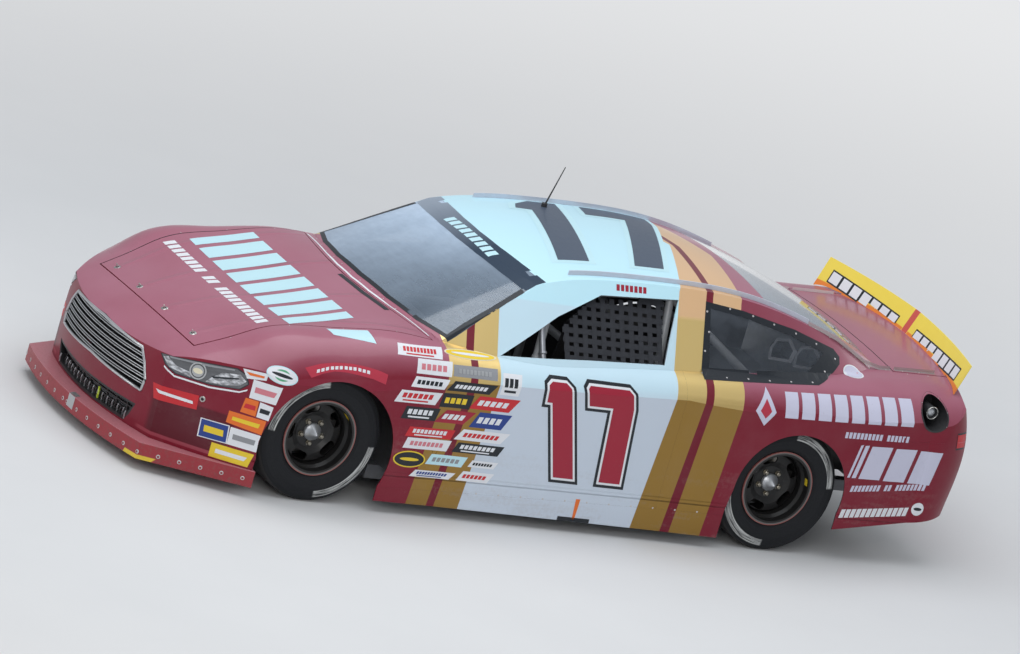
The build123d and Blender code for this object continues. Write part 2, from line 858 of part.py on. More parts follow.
# Cage: a main hoop, a roof halo, windshield bars, door bars and rear braces
cage_radius = 22.0
cage_swell = 5.0
cage_foot = floor_low + floor_thick + clear
hoop_top = (560, 2030, 1228)
hoop_shoulder = (690, 2000, 800)
halo_front = (560, 1330, 1190)
dash_corner = (735, 660, 838)
cage_runs = [
    [(690, 2000, cage_foot), hoop_shoulder, hoop_top, halo_front, dash_corner],
    [dash_corner, (694, 600, 300), (694, 600, cage_foot)],
    [hoop_top, (470, 2900, 680), (470, 2900, 604.3)],
    [halo_front, (722, 1235, 860), (760, 1235, 610)],
]
for level in (330, 470, 610):
    cage_runs.append([(700, 606, level), (800, 800, level), (800, 1800, level), (694, 1994, level)])
cage_runs += [mirrored(run) for run in cage_runs]
for spot in (hoop_top, halo_front, dash_corner):
    cage_runs.append([spot, mirrored([spot])[0]])
cage_runs.append([(690, 2000, 640), (-690, 2000, 640)])
cage_runs.append([(690, 2000, 640), (-560, 2026, 1200)])

# The bars of the cage and a slightly fuller round at each bend
cage_bars = []
cage_bends = {}
for run in cage_runs:
    placed = [Vector(x, at(aft), z) for x, aft, z in run]
    for start, end in zip(placed, placed[1:]):
        cage_bars.append(
            Solid.make_cylinder(
                cage_radius, (end - start).length, Plane(origin=start, z_dir=end - start)
            )
        )
    for bend in run[1:-1]:
        cage_bends[bend] = Solid.make_sphere(
            cage_radius + cage_swell, Plane(origin=(bend[0], at(bend[1]), bend[2]))
        )

with BuildPart() as roll_cage:
    add(cage_bars + list(cage_bends.values()))
save(roll_cage.part, "roll_cage")

# Seat: an aluminium shell with deep sides, seen from the side as (aft, height)
seat_x = 380.0
seat_half = 215.0
seat_floor = cage_foot
seat_outer = [
    (1330, seat_floor),
    (1700, seat_floor),
    (1870, 300),
    (1940, 960),
    (1800, 1010),
    (1700, 900),
    (1660, 560),
    (1560, 440),
    (1340, 430),
]
with BuildPart() as seat:
    add(side_prism(seat_outer, seat_x - seat_half, seat_x + seat_half))
    with BuildPart(mode=Mode.PRIVATE) as seat_space:
        add(
            side_prism(
                [(1300, 330), (1700, 330), (1790, 400), (1862, 1100), (1600, 1200), (1300, 900)],
                seat_x - seat_half + 14,
                seat_x + seat_half - 14,
            )
        )
    add(seat_space.part, mode=Mode.SUBTRACT)
save(seat.part, "seat")

# Steering wheel and column, on one tilted axis
tilt = radians(column_tilt)
wheel_spot = Vector(column_x, at(steering_wheel_centre[0]), steering_wheel_centre[1])
column_dir = Vector(0, -cos(tilt), -sin(tilt))
column_plane = Plane(origin=wheel_spot, x_dir=(1, 0, 0), z_dir=column_dir)
with BuildPart() as steering_wheel:
    with Locations(column_plane.location):
        Torus(steering_wheel_radius, 14)
        Cylinder(38, 24)
        with PolarLocations(0, 3, start_angle=90):
            Box(steering_wheel_radius, 34, 6, align=(Align.MIN, Align.CENTER, Align.CENTER))
        Cylinder(shaft_radius + running_fit, 60, mode=Mode.SUBTRACT)
save(steering_wheel.part, "steering_wheel")

with BuildPart() as steering_column:
    with Locations(column_plane.offset(17.5).location):
        Cylinder(column_radius, 620, align=(Align.CENTER, Align.CENTER, Align.MIN))
    with Locations(column_plane.offset(-12).location):
        Cylinder(shaft_radius, 60, align=(Align.CENTER, Align.CENTER, Align.MIN))
    add(block((0, 300, 0), (700, firewall_aft + 4.4, 1000)), mode=Mode.SUBTRACT)
save(steering_column.part, "steering_column")

# Dashboard: a folded sheet on the cage's bar, with an instrument box and the column's bracket
dash_bar_back = 682.0 + clear
with BuildPart() as dashboard:
    add(side_prism([(690, 650), (702, 650), (790, 870), (690, 878), (690, 864), (772, 858)], -640, 640))
    add(block((-640, dash_bar_back, 822), (640, 694, 878)))
    add(side_prism([(700, 690), (790, 668), (800, 860), (780, 868)], seat_x - 150, seat_x + 190))
    add(side_prism([(745, 590), (775, 590), (785, 690), (735, 690)], column_x - 36, column_x + 36))
    with Locations(column_plane.location):
        Cylinder(
            column_radius + clear, 900, align=(Align.CENTER, Align.CENTER, Align.MIN), mode=Mode.SUBTRACT
        )
save(dashboard.part, "dashboard")

# Window net: straps in the driver's side opening
net_pitch = 76.0
strap = 26.0
net_low = (1345.0, 900.0)
net_base = (823.0, 900.0)
net_lean = radians(35.0)
with BuildPart() as window_net:
    net_plane = Plane(
        origin=(net_base[0], at(net_low[0]), net_base[1]),
        x_dir=(0, 1, 0),
        z_dir=(cos(net_lean), 0, sin(net_lean)),
    )
    with BuildSketch(net_plane):
        with BuildLine():
            Polyline((0, 0), (590, 26), (620, 372), (180, 352), (-10, 170), close=True)
        make_face()
        with BuildSketch(mode=Mode.PRIVATE) as net_holes:
            with Locations((305, 186)):
                with GridLocations(net_pitch, net_pitch, 9, 6):
                    Rectangle(net_pitch - strap, net_pitch - strap)
            with BuildLine():
                Polyline((20, 22), (570, 48), (598, 350), (190, 330), (14, 160), close=True)
            make_face(mode=Mode.INTERSECT)
        add(net_holes.sketch, mode=Mode.SUBTRACT)
    extrude(amount=4.2)
save(window_net.part, "window_net")

# Engine and gearbox as one plain block, with the radiator ahead of it
with BuildPart() as engine_block:
    add(block((-280, -70, 238), (280, 470, 745)))
    add(block((-112, 460, 200), (112, 960, 380)))
save(engine_block.part, "engine_block")

with BuildPart() as radiator:
    add(block((-395, -715, 235 + clear), (395, -655, 610)))
save(radiator.part, "radiator")

with BuildPart() as exhaust:
    for hand in (1, -1):
        add(tube([(hand * 215, 320, 237.7), (hand * 215, 320, 134), (hand * 215, 1560, 134)], 32))
        add(
            tube([(hand * 215, 320, 200), (hand * 215, 320, 134), (hand * 215, 1600, 134)], 29),
            mode=Mode.SUBTRACT,
        )
save(exhaust.part, "exhaust")

with BuildPart() as fuel_cell:
    add(block((-330, 3125, 300.3), (330, 3675, 560)))
save(fuel_cell.part, "fuel_cell")

# Front suspension arms, four separate wishbones
with BuildPart() as control_arms:
    for hand in (1, -1):
        for level, low, inner in ((205, 190, 365.3), (495, 480, 365.3)):
            with BuildSketch(plan_plane(low)):
                with BuildLine():
                    Polyline(
                        (hand * (kingpin_x + 16), -18),
                        (hand * (kingpin_x + 16), 18),
                        (hand * inner, 90),
                        (hand * inner, 50),
                        (hand * 590, 0),
                        (hand * inner, -50),
                        (hand * inner, -90),
                        close=True,
                    )
                make_face()
            extrude(amount=18)
    with Locations((kingpin_x, at(0), tyre_radius), (-kingpin_x, at(0), tyre_radius)):
        Cylinder(stud_radius + running_fit, 400, mode=Mode.SUBTRACT)
save(control_arms.part, "control_arms")

# Steering link: one bar that slides across the car between the two knuckle arms
link_eye = 32.0
link_bore = 21.0
with BuildPart() as steering_link:
    with Locations((0, at(-steer_arm), link_height)):
        Cylinder(link_radius, 2 * (kingpin_x - link_eye + 6), rotation=(0, 90, 0))
    with Locations(
        (kingpin_x, at(-steer_arm), link_height), (-kingpin_x, at(-steer_arm), link_height)
    ):
        Cylinder(link_eye, 16)
        Cylinder(link_bore, 20, mode=Mode.SUBTRACT)
save(steering_link.part, "steering_link")

# Knuckles: an upright with its spindle, steering arm and brake caliper
upright_low = 213.7
upright_high = 474.3
rotor_mid = wheel_centre_x - rotor_inset


def caliper(aft_centre, hand):
    """A brake caliper behind the axle, over the rotor's edge."""
    with BuildPart() as body:
        add(
            block(
                (rotor_mid - 44, aft_centre + 92, tyre_radius - 55),
                (rotor_mid + 34, aft_centre + rotor_radius + 11, tyre_radius + 55),
            )
        )
        add(
            block(
                (
                    rotor_mid - rotor_thick / 2 - brake_gap,
                    aft_centre + 60,
                    tyre_radius - 60,
                ),
                (
                    rotor_mid + rotor_thick / 2 + brake_gap,
                    aft_centre + rotor_radius + 5.5,
                    tyre_radius + 60,
                ),
            ),
            mode=Mode.SUBTRACT,
        )
    return body.part if hand > 0 else mirror(body.part, Plane.YZ)


for name, hand in (("left", 1), ("right", -1)):
    with BuildPart() as knuckle:
        add(block((630, -34, upright_low), (668, 34, upright_high)))
        with Locations((kingpin_x, at(0), 190)):
            Cylinder(stud_radius, 308, align=(Align.CENTER, Align.CENTER, Align.MIN))
        with Locations((660, at(0), tyre_radius)):
            Cylinder(
                spindle_radius, 128, rotation=(0, 90, 0), align=(Align.CENTER, Align.CENTER, Align.MIN)
            )
        add(block((640, -steer_arm - 14, 296), (668, -20, 316)))
        with Locations((kingpin_x, at(-steer_arm), 296)):
            Cylinder(pin_radius, 32, align=(Align.CENTER, Align.CENTER, Align.MAX))
        add(caliper(0, 1))
        add(block((640, 20, tyre_radius - 40), (rotor_mid - 30, 130, tyre_radius + 40)))
    whole = knuckle.part if hand > 0 else mirror(knuckle.part, Plane.YZ)
    save(whole, f"knuckle_{name}")

# Rear axle: a solid housing with its differential, spindles and calipers
with BuildPart() as rear_axle:
    with Locations((0, at(wheelbase), tyre_radius)):
        Cylinder(38, 1360, rotation=(0, 90, 0))
        Cylinder(spindle_radius, 2 * 788, rotation=(0, 90, 0))
        Cylinder(138, 150, rotation=(0, 90, 0))
    for hand in (1, -1):
        add(caliper(wheelbase, hand))
        low, high = (640, wheelbase + 20, 310), (rotor_mid - 30, wheelbase + 130, 390)
        if hand > 0:
            add(block(low, high))
        else:
            add(block((-high[0], low[1], low[2]), (-low[0], high[1], high[2])))
    with Locations((0, at(wheelbase - 130), tyre_radius)):
        Cylinder(48, 90, rotation=(90, 0, 0))
save(rear_axle.part, "rear_axle")

with BuildPart() as driveshaft:
    add(tube([(0, 960.3, 290), (0, wheelbase - 175.4, 348)], 36))
    add(block((-60, 900, 200), (60, 960.3, 380)), mode=Mode.SUBTRACT)
    add(block((-60, wheelbase - 175.4, 200), (60, wheelbase - 100, 500)), mode=Mode.SUBTRACT)
save(driveshaft.part, "driveshaft")

# Trailing arms and dampers between the rear rails and the axle
with BuildPart() as trailing_arms:
    for hand in (1, -1):
        with BuildPart(mode=Mode.PRIVATE) as arm:
            add(tube([(hand * 462, 2450.3, 200), (hand * 462, 2794, 300)], 20))
            add(block((-600, 2300, 100), (600, 2450.3, 400)), mode=Mode.SUBTRACT)
            with Locations((0, at(wheelbase), tyre_radius)):
                Cylinder(38 + clear, 1400, rotation=(0, 90, 0), mode=Mode.SUBTRACT)
        add(arm.part)
save(trailing_arms.part, "trailing_arms")

# Wheels, tyres and rotors, each turned round the wheel's own axis
rim_section = [
    (rim_half_width, flange_radius),
    (rim_half_width - 9, flange_radius),
    (rim_half_width - 12, seat_radius),
    (rim_half_width - 42, seat_radius - 1.5),
    (rim_half_width - 58, drop_radius),
    (-20, drop_radius),
    (-46, seat_radius - 3),
    (-rim_half_width + 12, seat_radius),
    (-rim_half_width + 9, flange_radius),
    (-rim_half_width, flange_radius),
    (-rim_half_width, seat_radius - rim_thick),
    (-46, seat_radius - 3 - rim_thick),
    (-22, drop_radius - rim_thick),
    (rim_half_width - 60, drop_radius - rim_thick),
    (rim_half_width - 44, seat_radius - 1.5 - rim_thick),
    (rim_half_width, seat_radius - rim_thick),
]
disc_section = [
    (pad_offset, 33),
    (pad_offset + disc_thick, 33),
    (pad_offset + disc_thick, pad_radius),
    (pad_offset + 26, pad_radius + 30),
    (pad_offset + 22, drop_radius - rim_thick - 14),
    (pad_offset + 4, drop_radius - rim_thick + 1),
    (pad_offset - 6, drop_radius - rim_thick + 1),
    (pad_offset + 12, drop_radius - rim_thick - 16),
    (pad_offset + 16, pad_radius + 26),
    (pad_offset, pad_radius),
]
tyre_section = [
    (114.5, bead_radius),
    (117.5, flange_radius + 0.8),
    (136, flange_radius + 20),
    (tyre_half_width, 275),
    (tyre_half_width - 4, 315),
    (tyre_half_width - 14, 336),
    (tread_half_width, 347),
    (60, tyre_radius),
]


def turned(section):
    with BuildPart() as body:
        with BuildSketch(Plane.XY):
            with BuildLine():
                Polyline(*section, close=True)
            make_face()
        revolve(axis=Axis.X)
    return body.part


with BuildPart() as rim:
    add(turned(rim_section))
    add(turned(disc_section))
    with BuildSketch(Plane.YZ.offset(-30)):
        with PolarLocations(134, wheel_windows, start_angle=36):
            RectangleRounded(44, 92, 20)
    extrude(amount=110, mode=Mode.SUBTRACT)

with BuildPart() as tyre:
    add(turned(tyre_section + [(-x, r) for x, r in reversed(tyre_section)]))
    inner_section = [
        (101, bead_radius - 5),
        (103, flange_radius + 16),
        (tyre_half_width - tyre_wall, 272),
        (tyre_half_width - tyre_wall - 6, 315),
        (tread_half_width - 10, tyre_radius - tyre_wall - 4),
    ]
    add(
        turned(inner_section + [(-x, r) for x, r in reversed(inner_section)]), mode=Mode.SUBTRACT
    )

hub_section = [
    (-75, spindle_radius + running_fit),
    (pad_offset - clear, spindle_radius + running_fit),
    (pad_offset - clear, 62),
    (pad_offset - 12, 76),
    (pad_offset - 14, 76),
    (-rotor_inset + rotor_thick / 2, 80),
    (-rotor_inset + rotor_thick / 2, rotor_radius),
    (-rotor_inset - rotor_thick / 2, rotor_radius),
    (-rotor_inset - rotor_thick / 2, 42),
    (-75, 42),
]
with BuildPart() as rotor:
    add(turned(hub_section))

corners = (
    ("front_left", 1, 0.0),
    ("front_right", -1, 0.0),
    ("rear_left", 1, wheelbase),
    ("rear_right", -1, wheelbase),
)
for kind, source in (("wheel", rim), ("tyre", tyre), ("brake_disc", rotor)):
    for corner, hand, aft in corners:
        turn = 0 if hand > 0 else 180
        with BuildPart() as placed_part:
            with Locations(Location((hand * wheel_centre_x, at(aft), tyre_radius), (0, 0, turn))):
                add(source.part)
        save(placed_part.part, f"{kind}_{corner}")
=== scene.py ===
import bpy
import bmesh
from math import cos, sin, pi, radians
from mathutils import Matrix, Vector
from mathutils.bvhtree import BVHTree


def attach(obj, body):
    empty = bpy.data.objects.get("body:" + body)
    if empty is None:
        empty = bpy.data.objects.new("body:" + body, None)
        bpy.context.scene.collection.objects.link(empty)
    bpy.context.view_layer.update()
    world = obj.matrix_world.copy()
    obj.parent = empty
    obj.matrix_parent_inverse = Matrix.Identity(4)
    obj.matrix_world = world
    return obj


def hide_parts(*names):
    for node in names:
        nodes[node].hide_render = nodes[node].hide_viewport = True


# Stock car: paint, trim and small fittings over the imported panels, chassis and wheels.
# Metres, nose towards -Y, the car's left side towards +X, ground at z = 0.
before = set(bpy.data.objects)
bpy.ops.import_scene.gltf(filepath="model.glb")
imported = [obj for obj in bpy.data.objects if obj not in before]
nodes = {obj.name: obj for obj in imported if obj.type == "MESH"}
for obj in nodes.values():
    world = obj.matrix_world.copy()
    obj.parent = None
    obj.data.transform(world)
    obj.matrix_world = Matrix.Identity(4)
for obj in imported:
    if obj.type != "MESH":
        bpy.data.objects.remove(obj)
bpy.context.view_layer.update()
axleY = -1.4645
rearAxleY = 1.3295
hubHeight = 0.35
print("frame loaded:", len(nodes), "nodes")

# Camera at the photograph's angle
cameraSet = {
    "place": (51.905, -32.3095, 17.918),
    "right": (0.44361357, 0.85495148, 0.26882144),
    "up": (-0.36764604, -0.09995169, 0.92457885),
    "lens": 425.73,
    "sensor": 36,
    "near": 1,
    "far": 400,
}
cameraData = bpy.data.cameras.new("camera")
cameraData.lens = cameraSet["lens"]
cameraData.sensor_width = cameraSet["sensor"]
cameraData.clip_start = cameraSet["near"]
cameraData.clip_end = cameraSet["far"]
camera = bpy.data.objects.new("camera", cameraData)
bpy.context.scene.collection.objects.link(camera)
rightWay = Vector(cameraSet["right"]).normalized()
upWay = Vector(cameraSet["up"]).normalized()
backWay = rightWay.cross(upWay)
turn = Matrix((rightWay, upWay, backWay)).transposed().to_4x4()
camera.matrix_world = Matrix.Translation(Vector(cameraSet["place"])) @ turn
bpy.context.scene.camera = camera
bpy.context.scene.view_settings.view_transform = "Standard"


# A socket that can be used in sums
class Wire:
    def __init__(self, finish, socket):
        self.finish = finish
        self.socket = socket

    def math(self, operation, other=0.0, swapped=False, clamp=False):
        first, second = (other, self) if swapped else (self, other)
        return self.finish.node(
            "ShaderNodeMath", {"operation": operation, "use_clamp": clamp}, first, second
        )

    def __add__(self, other):
        return self.math("ADD", other)

    def __radd__(self, other):
        return self.math("ADD", other, True)

    def __sub__(self, other):
        return self.math("SUBTRACT", other)

    def __rsub__(self, other):
        return self.math("SUBTRACT", other, True)

    def __mul__(self, other):
        return self.math("MULTIPLY", other)

    def __rmul__(self, other):
        return self.math("MULTIPLY", other, True)

    def __truediv__(self, other):
        return self.math("DIVIDE", other)

    def __rtruediv__(self, other):
        return self.math("DIVIDE", other, True)

    def __pow__(self, other):
        return self.math("POWER", other)

    def __abs__(self):
        return self.math("ABSOLUTE")

    def atLeast(self, low):
        return self.math("MAXIMUM", low)

    def atMost(self, high):
        return self.math("MINIMUM", high)

    # Held between 0 and 1
    def clamped(self):
        return self.math("ADD", 0.0, clamp=True)

    # 0 below the edge, 1 above it, with a short ramp
    def above(self, edge, soft=0.0015):
        return ((self - edge) * (1.0 / soft) + 0.5).clamped()

    def between(self, low, high, soft=0.0015):
        return self.above(low, soft) * (1 - self.above(high, soft))


# One material and the nodes that feed it
class Finish:
    def __init__(self, name):
        self.material = bpy.data.materials.new(name)
        self.material.use_nodes = True
        self.tree = self.material.node_tree
        self.shader = next(n for n in self.tree.nodes if n.type == "BSDF_PRINCIPLED")
        place = self.node("ShaderNodeTexCoord", out="Object")
        self.place = place
        self.x = self.node("ShaderNodeSeparateXYZ", {}, place, out="X")
        self.y = self.node("ShaderNodeSeparateXYZ", {}, place, out="Y")
        self.z = self.node("ShaderNodeSeparateXYZ", {}, place, out="Z")
        self.facing = self.node("ShaderNodeTexCoord", out="Normal")

    def node(self, kind, settings=None, *values, out=0, **named):
        made = self.tree.nodes.new(kind)
        for key, value in (settings or {}).items():
            if key == "stops":
                ramp = made.color_ramp
                while len(ramp.elements) < len(value):
                    ramp.elements.new(0.5)
                for stop, (spot, shade) in zip(ramp.elements, value):
                    stop.position = spot
                    stop.color = shade
            else:
                setattr(made, key, value)
        for socket, value in zip(made.inputs, values):
            self.feed(socket, value)
        for key, value in named.items():
            self.feed(made.inputs[key], value)
        return Wire(self, made.outputs[out])

    def feed(self, socket, value):
        if isinstance(value, Wire):
            self.tree.links.new(value.socket, socket)
        elif value is not None:
            socket.default_value = value

    def noise(self, scale, detail=3.0, rough=0.5, place=None):
        return self.node(
            "ShaderNodeTexNoise", {}, Vector=place or self.place, Scale=scale, Detail=detail,
            Roughness=rough,
        )

    def blend(self, factor, first, second):
        return self.node(
            "ShaderNodeMix", {"data_type": "RGBA"}, factor, None, None, None, None, None,
            shade(first), shade(second), out=2,
        )

    def stretched(self, sx, sy, sz):
        return self.node(
            "ShaderNodeVectorMath", {"operation": "MULTIPLY"}, self.place, (sx, sy, sz)
        )

    def bump(self, height, distance=0.001, strength=1.0):
        return self.node(
            "ShaderNodeBump", {}, Height=height, Distance=distance, Strength=strength, out="Normal"
        )

    def wear(self, **sockets):
        for key, value in sockets.items():
            self.feed(self.shader.inputs[socketNames[key]], value)
        return self.material


socketNames = {
    "color": "Base Color", "rough": "Roughness", "metal": "Metallic", "normal": "Normal",
    "coat": "Coat Weight", "coatRough": "Coat Roughness", "alpha": "Alpha",
    "sheen": "Sheen Weight", "specular": "Specular IOR Level",
}


def shade(value):
    if isinstance(value, tuple) and len(value) == 3:
        return value + (1.0,)
    return value


# Light: an even pale sky, one wide lamp above and three soft lamps round the car
lightSet = {"sky": (0.86, 0.90, 0.96), "skyPower": 0.47, "back": (0.80, 0.808, 0.82)}
world = bpy.data.worlds.new("studio")
bpy.context.scene.world = world
world.use_nodes = True
worldTree = world.node_tree
skyNode = next(n for n in worldTree.nodes if n.type == "BACKGROUND")
skyNode.inputs["Color"].default_value = lightSet["sky"] + (1,)
skyNode.inputs["Strength"].default_value = lightSet["skyPower"]
backNode = worldTree.nodes.new("ShaderNodeBackground")
backNode.inputs["Color"].default_value = lightSet["back"] + (1,)
pathNode = worldTree.nodes.new("ShaderNodeLightPath")
mixNode = worldTree.nodes.new("ShaderNodeMixShader")
worldTree.links.new(pathNode.outputs["Is Camera Ray"], mixNode.inputs[0])
worldTree.links.new(skyNode.outputs[0], mixNode.inputs[1])
worldTree.links.new(backNode.outputs[0], mixNode.inputs[2])
worldOut = next(n for n in worldTree.nodes if n.type == "OUTPUT_WORLD")
worldTree.links.new(mixNode.outputs[0], worldOut.inputs[0])

lamps = (
    ("overhead", (0.5, -1.0, 7.5), (0, 0, 0.5), 9.0, 415, (0.94, 0.97, 1.0)),
    ("leftSoft", (9.0, -5.0, 4.5), (0, 0, 0.6), 5.0, 215, (1.0, 0.98, 0.95)),
    ("noseSoft", (-3.0, -10.0, 4.0), (0, -1, 0.6), 4.0, 135, (1.0, 0.99, 0.97)),
    ("tailSoft", (-2.0, 9.0, 4.5), (0, 1, 0.6), 5.0, 140, (0.96, 0.98, 1.0)),
)
for lampName, spot, aim, width, power, tint in lamps:
    lampData = bpy.data.lights.new(lampName, "AREA")
    lampData.shape = "DISK"
    lampData.size = width
    lampData.energy = power
    lampData.color = tint
    lamp = bpy.data.objects.new(lampName, lampData)
    lamp.location = spot
    lamp.rotation_euler = (Vector(aim) - Vector(spot)).to_track_quat("-Z", "Y").to_euler()
    bpy.context.scene.collection.objects.link(lamp)


# Mesh helpers
def pieceOf(name, verts, faces, finish, body, smooth=False):
    mesh = bpy.data.meshes.new(name)
    mesh.from_pydata([tuple(v) for v in verts], [], faces)
    mesh.update()
    piece = bpy.data.objects.new(name, mesh)
    bpy.context.scene.collection.objects.link(piece)
    mesh.materials.append(finish)
    for face in mesh.polygons:
        face.use_smooth = smooth
    if body:
        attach(piece, body)
    return piece


# A pale floor that keeps the shadow and fades into the backdrop where it is only looked at
floorSet = {
    "near": (0.66, 0.665, 0.67), "grain": (0.70, 0.703, 0.706), "far": (0.80, 0.808, 0.82),
    "start": 3.6, "end": 13.0, "reach": 60,
}
floorFinish = Finish("paleFloor")
floorGrain = floorFinish.noise(1.4, 4)
floorFinish.wear(color=floorFinish.blend(floorGrain, floorSet["near"], floorSet["grain"]), rough=0.85)
rayKinds = [
    floorFinish.node("ShaderNodeLightPath", out=kind)
    for kind in ("Is Camera Ray", "Is Glossy Ray", "Is Transmission Ray")
]
seen = rayKinds[0].atLeast(rayKinds[1]).atLeast(rayKinds[2])
away = (floorFinish.x * floorFinish.x + floorFinish.y * floorFinish.y * 0.6) ** 0.5
fade = ((away - floorSet["start"]) / (floorSet["end"] - floorSet["start"])).clamped()
glow = floorFinish.node("ShaderNodeEmission", {}, floorSet["far"] + (1,), 1.0)
bare = Wire(floorFinish, floorFinish.shader.outputs[0])
mixed = floorFinish.node("ShaderNodeMixShader", {}, (fade * 2 - fade * fade) * seen, bare, glow)
floorOut = next(n for n in floorFinish.tree.nodes if n.type == "OUTPUT_MATERIAL")
floorFinish.feed(floorOut.inputs["Surface"], mixed)
squareWays = ((-1, -1), (1, -1), (1, 1), (-1, 1))
floorCorners = [(x * floorSet["reach"], y * floorSet["reach"], 0) for x, y in squareWays]
floor = pieceOf("floor", floorCorners, [(0, 1, 2, 3)], floorFinish.material, None)
print("camera, light and floor ready")

# Car colours, as they look in even light, except painted light: the top colours, roof and tan are
# lighter copies for up-facing faces and the roof, painted sky reflection, and gold is the darker copy
# for upright sides, painted shade
paint = {
    "maroon": (0.200, 0.008, 0.024),
    "maroonSkyLit": (0.375, 0.128, 0.185),
    "stripe": (0.165, 0.006, 0.020),
    "gold": (0.30, 0.170, 0.036),
    "goldSkyLit": (0.90, 0.66, 0.26),
    "tan": (0.72, 0.46, 0.25),
    "white": (0.57, 0.635, 0.73),
    "roof": (0.52, 0.80, 0.90),
    "inside": (0.045, 0.045, 0.05),
    "dust": (0.35, 0.31, 0.28),
}
# Stripe edges as aft of the front axle at the ground, and how far each moves aft per metre up
stripes = {
    "frontGold": (0.565, 0.072, 0.880, 0.066),
    "frontDark": (0.690, 0.082, 0.735, 0.080),
    "rearGold": (1.934, 0.083, 2.362, 0.057),
    "rearDark": (2.118, 0.072, 2.174, 0.062),
}


def liveryFinish():
    f = Finish("livery")
    aft = f.y - axleY
    side = abs(f.x)
    inward = (0.612 - side).atLeast(0.0)
    onRoof = f.z.above(1.16, 0.02)

    def band(name, roofSweep):
        low, lowUp, high, highUp = stripes[name]
        sweep = inward * onRoof
        ahead = (aft - f.z * highUp - sweep * roofSweep[1]).above(high)
        return (aft - f.z * lowUp - sweep * roofSweep[0]).above(low) * (1 - ahead)

    frontGold = band("frontGold", (0, 0))
    frontDark = band("frontDark", (0, 0))
    rearGold = band("rearGold", (0.40, 0.20))
    rearDark = band("rearDark", (0.155, 0.155))
    start, startUp = stripes["frontGold"][2:]
    end, endUp = stripes["rearGold"][:2]
    past = (aft - f.z * endUp - inward * onRoof * 0.40).above(end)
    white = (aft - f.z * startUp).above(start) * (1 - past)
    # Painted sky reflection: flat, up-facing faces are painted lighter and paler, upright ones keep the
    # deep base colours
    facingUp = f.node("ShaderNodeSeparateXYZ", {}, f.facing, out="Z")
    upward = ((facingUp - 0.28) * 1.65).clamped()
    shoulderSkyLit = ((facingUp + 0.03) * 1.9).clamped()
    soft = f.noise(1.9, 4, 0.55)
    # Painted sky reflection and shade: white turns pale blue on the roof and up-facing shoulders, gold
    # is a dark copy on the sides, a light copy facing up and tan on the roof, and red lightens facing
    # up
    whiteColor = f.blend((onRoof + shoulderSkyLit * 0.55).atMost(1.0), paint["white"], paint["roof"])
    goldColor = f.blend(onRoof, f.blend(shoulderSkyLit, paint["gold"], paint["goldSkyLit"]), paint["tan"])
    redColor = f.blend(upward * (soft * 0.5 + 0.66), paint["maroon"], paint["maroonSkyLit"])
    color = f.blend(white, redColor, whiteColor)
    color = f.blend(frontGold, color, goldColor)
    color = f.blend(rearGold, color, goldColor)
    color = f.blend((frontDark + rearDark).atMost(1.0), color, paint["stripe"])
    goldMask = (frontGold + rearGold - frontDark - rearDark).atLeast(0.0)
    # The corner below the lamps lies back a little; its darker colour is painted shade, and the lighter
    # strip along its lower ledge is a painted highlight
    recessShade = f.z.between(0.185, 0.400, 0.012) * side.between(0.56, 0.90, 0.03)
    color = f.blend(recessShade * (1 - aft.above(-0.50, 0.02)) * 0.78, color, (0.070, 0.003, 0.010))
    ledgeHighlight = f.z.between(0.168, 0.186, 0.004) * side.between(0.50, 0.93, 0.03)
    color = f.blend(ledgeHighlight * (1 - aft.above(-0.45, 0.02)) * 0.5, color, (0.42, 0.10, 0.13))
    # Road dirt low on the sides and fine scuffs everywhere
    fine = f.noise(55, 6, 0.65)
    broad = f.noise(3.2, 4, 0.6)
    streak = f.noise(9, 4, 0.6, f.stretched(1, 0.18, 1.4))
    low = (0.62 - f.z).atLeast(0.0) * 1.2
    thrown = aft.above(-0.2, 0.3) * 0.7 + 0.3
    dirt = ((streak + fine * 0.5 - 0.80) * 2.4).atLeast(0.0) * low * thrown
    color = f.blend((dirt * 0.9).atMost(0.5), color, paint["dust"])
    color = f.blend((broad - 0.45).atLeast(0.0) * 0.14, color, (0.5, 0.42, 0.44))
    # The inner side of each panel is bare dark composite
    outWay = f.node(
        "ShaderNodeVectorMath", {"operation": "MULTIPLY_ADD"}, f.place, (1, 0.42, 1.1), (0, 0, -0.42),
    )
    facing = f.node("ShaderNodeVectorMath", {"operation": "DOT_PRODUCT"}, f.facing, outWay, out="Value")
    inner = 1 - facing.above(-0.02, 0.02)
    color = f.blend(inner, color, paint["inside"])
    # Raised creases: four that fan out on the hood, one low on the sides
    ridge = 0
    creaseHalf = 0.028
    for spread, fan in ((0.150, 0.085), (0.455, 0.21)):
        centre = (aft + 0.66) * fan + spread
        gap = abs(side - centre)
        ridge = 1 - (gap * (1 / creaseHalf)).atMost(1.0) + ridge
    hoodOnly = f.z.above(0.60, 0.02) * (1 - aft.above(0.52, 0.05)) * aft.above(-0.64, 0.08)
    sideLine = (f.z - aft * 0.012).between(0.205, 0.226, 0.008)
    height = ridge * hoodOnly + sideLine * side.above(0.90, 0.01) * 1.6 + fine * 0.012
    rough = 0.30 + broad * 0.12 + dirt * 0.4 + inner * 0.3 - goldMask * 0.06
    return f.wear(
        color=color, rough=rough, metal=goldMask * 0.7 * (1 - onRoof * 0.9) * (1 - inner),
        coat=(1 - inner) * (upward * 0.35 + 0.06),
        coatRough=0.12, specular=0.28, normal=f.bump(height, 0.006, 0.8),
    )


def plainFinish(name, color, rough, metal=0.0, second=None, scale=40.0, grain=0.0003, coat=0.0):
    f = Finish(name)
    spots = f.noise(scale, 5, 0.6)
    broad = f.noise(scale * 0.12, 3, 0.5)
    second = second or tuple(c * 0.72 for c in color)
    mixed = f.blend(((spots + broad) * 0.9 - 0.45).atMost(1.0).atLeast(0.0), color, second)
    return f.wear(
        color=mixed, rough=rough * 0.85 + broad * rough * 0.3, metal=metal, coat=coat,
        normal=f.bump(spots, grain, 0.6),
    )


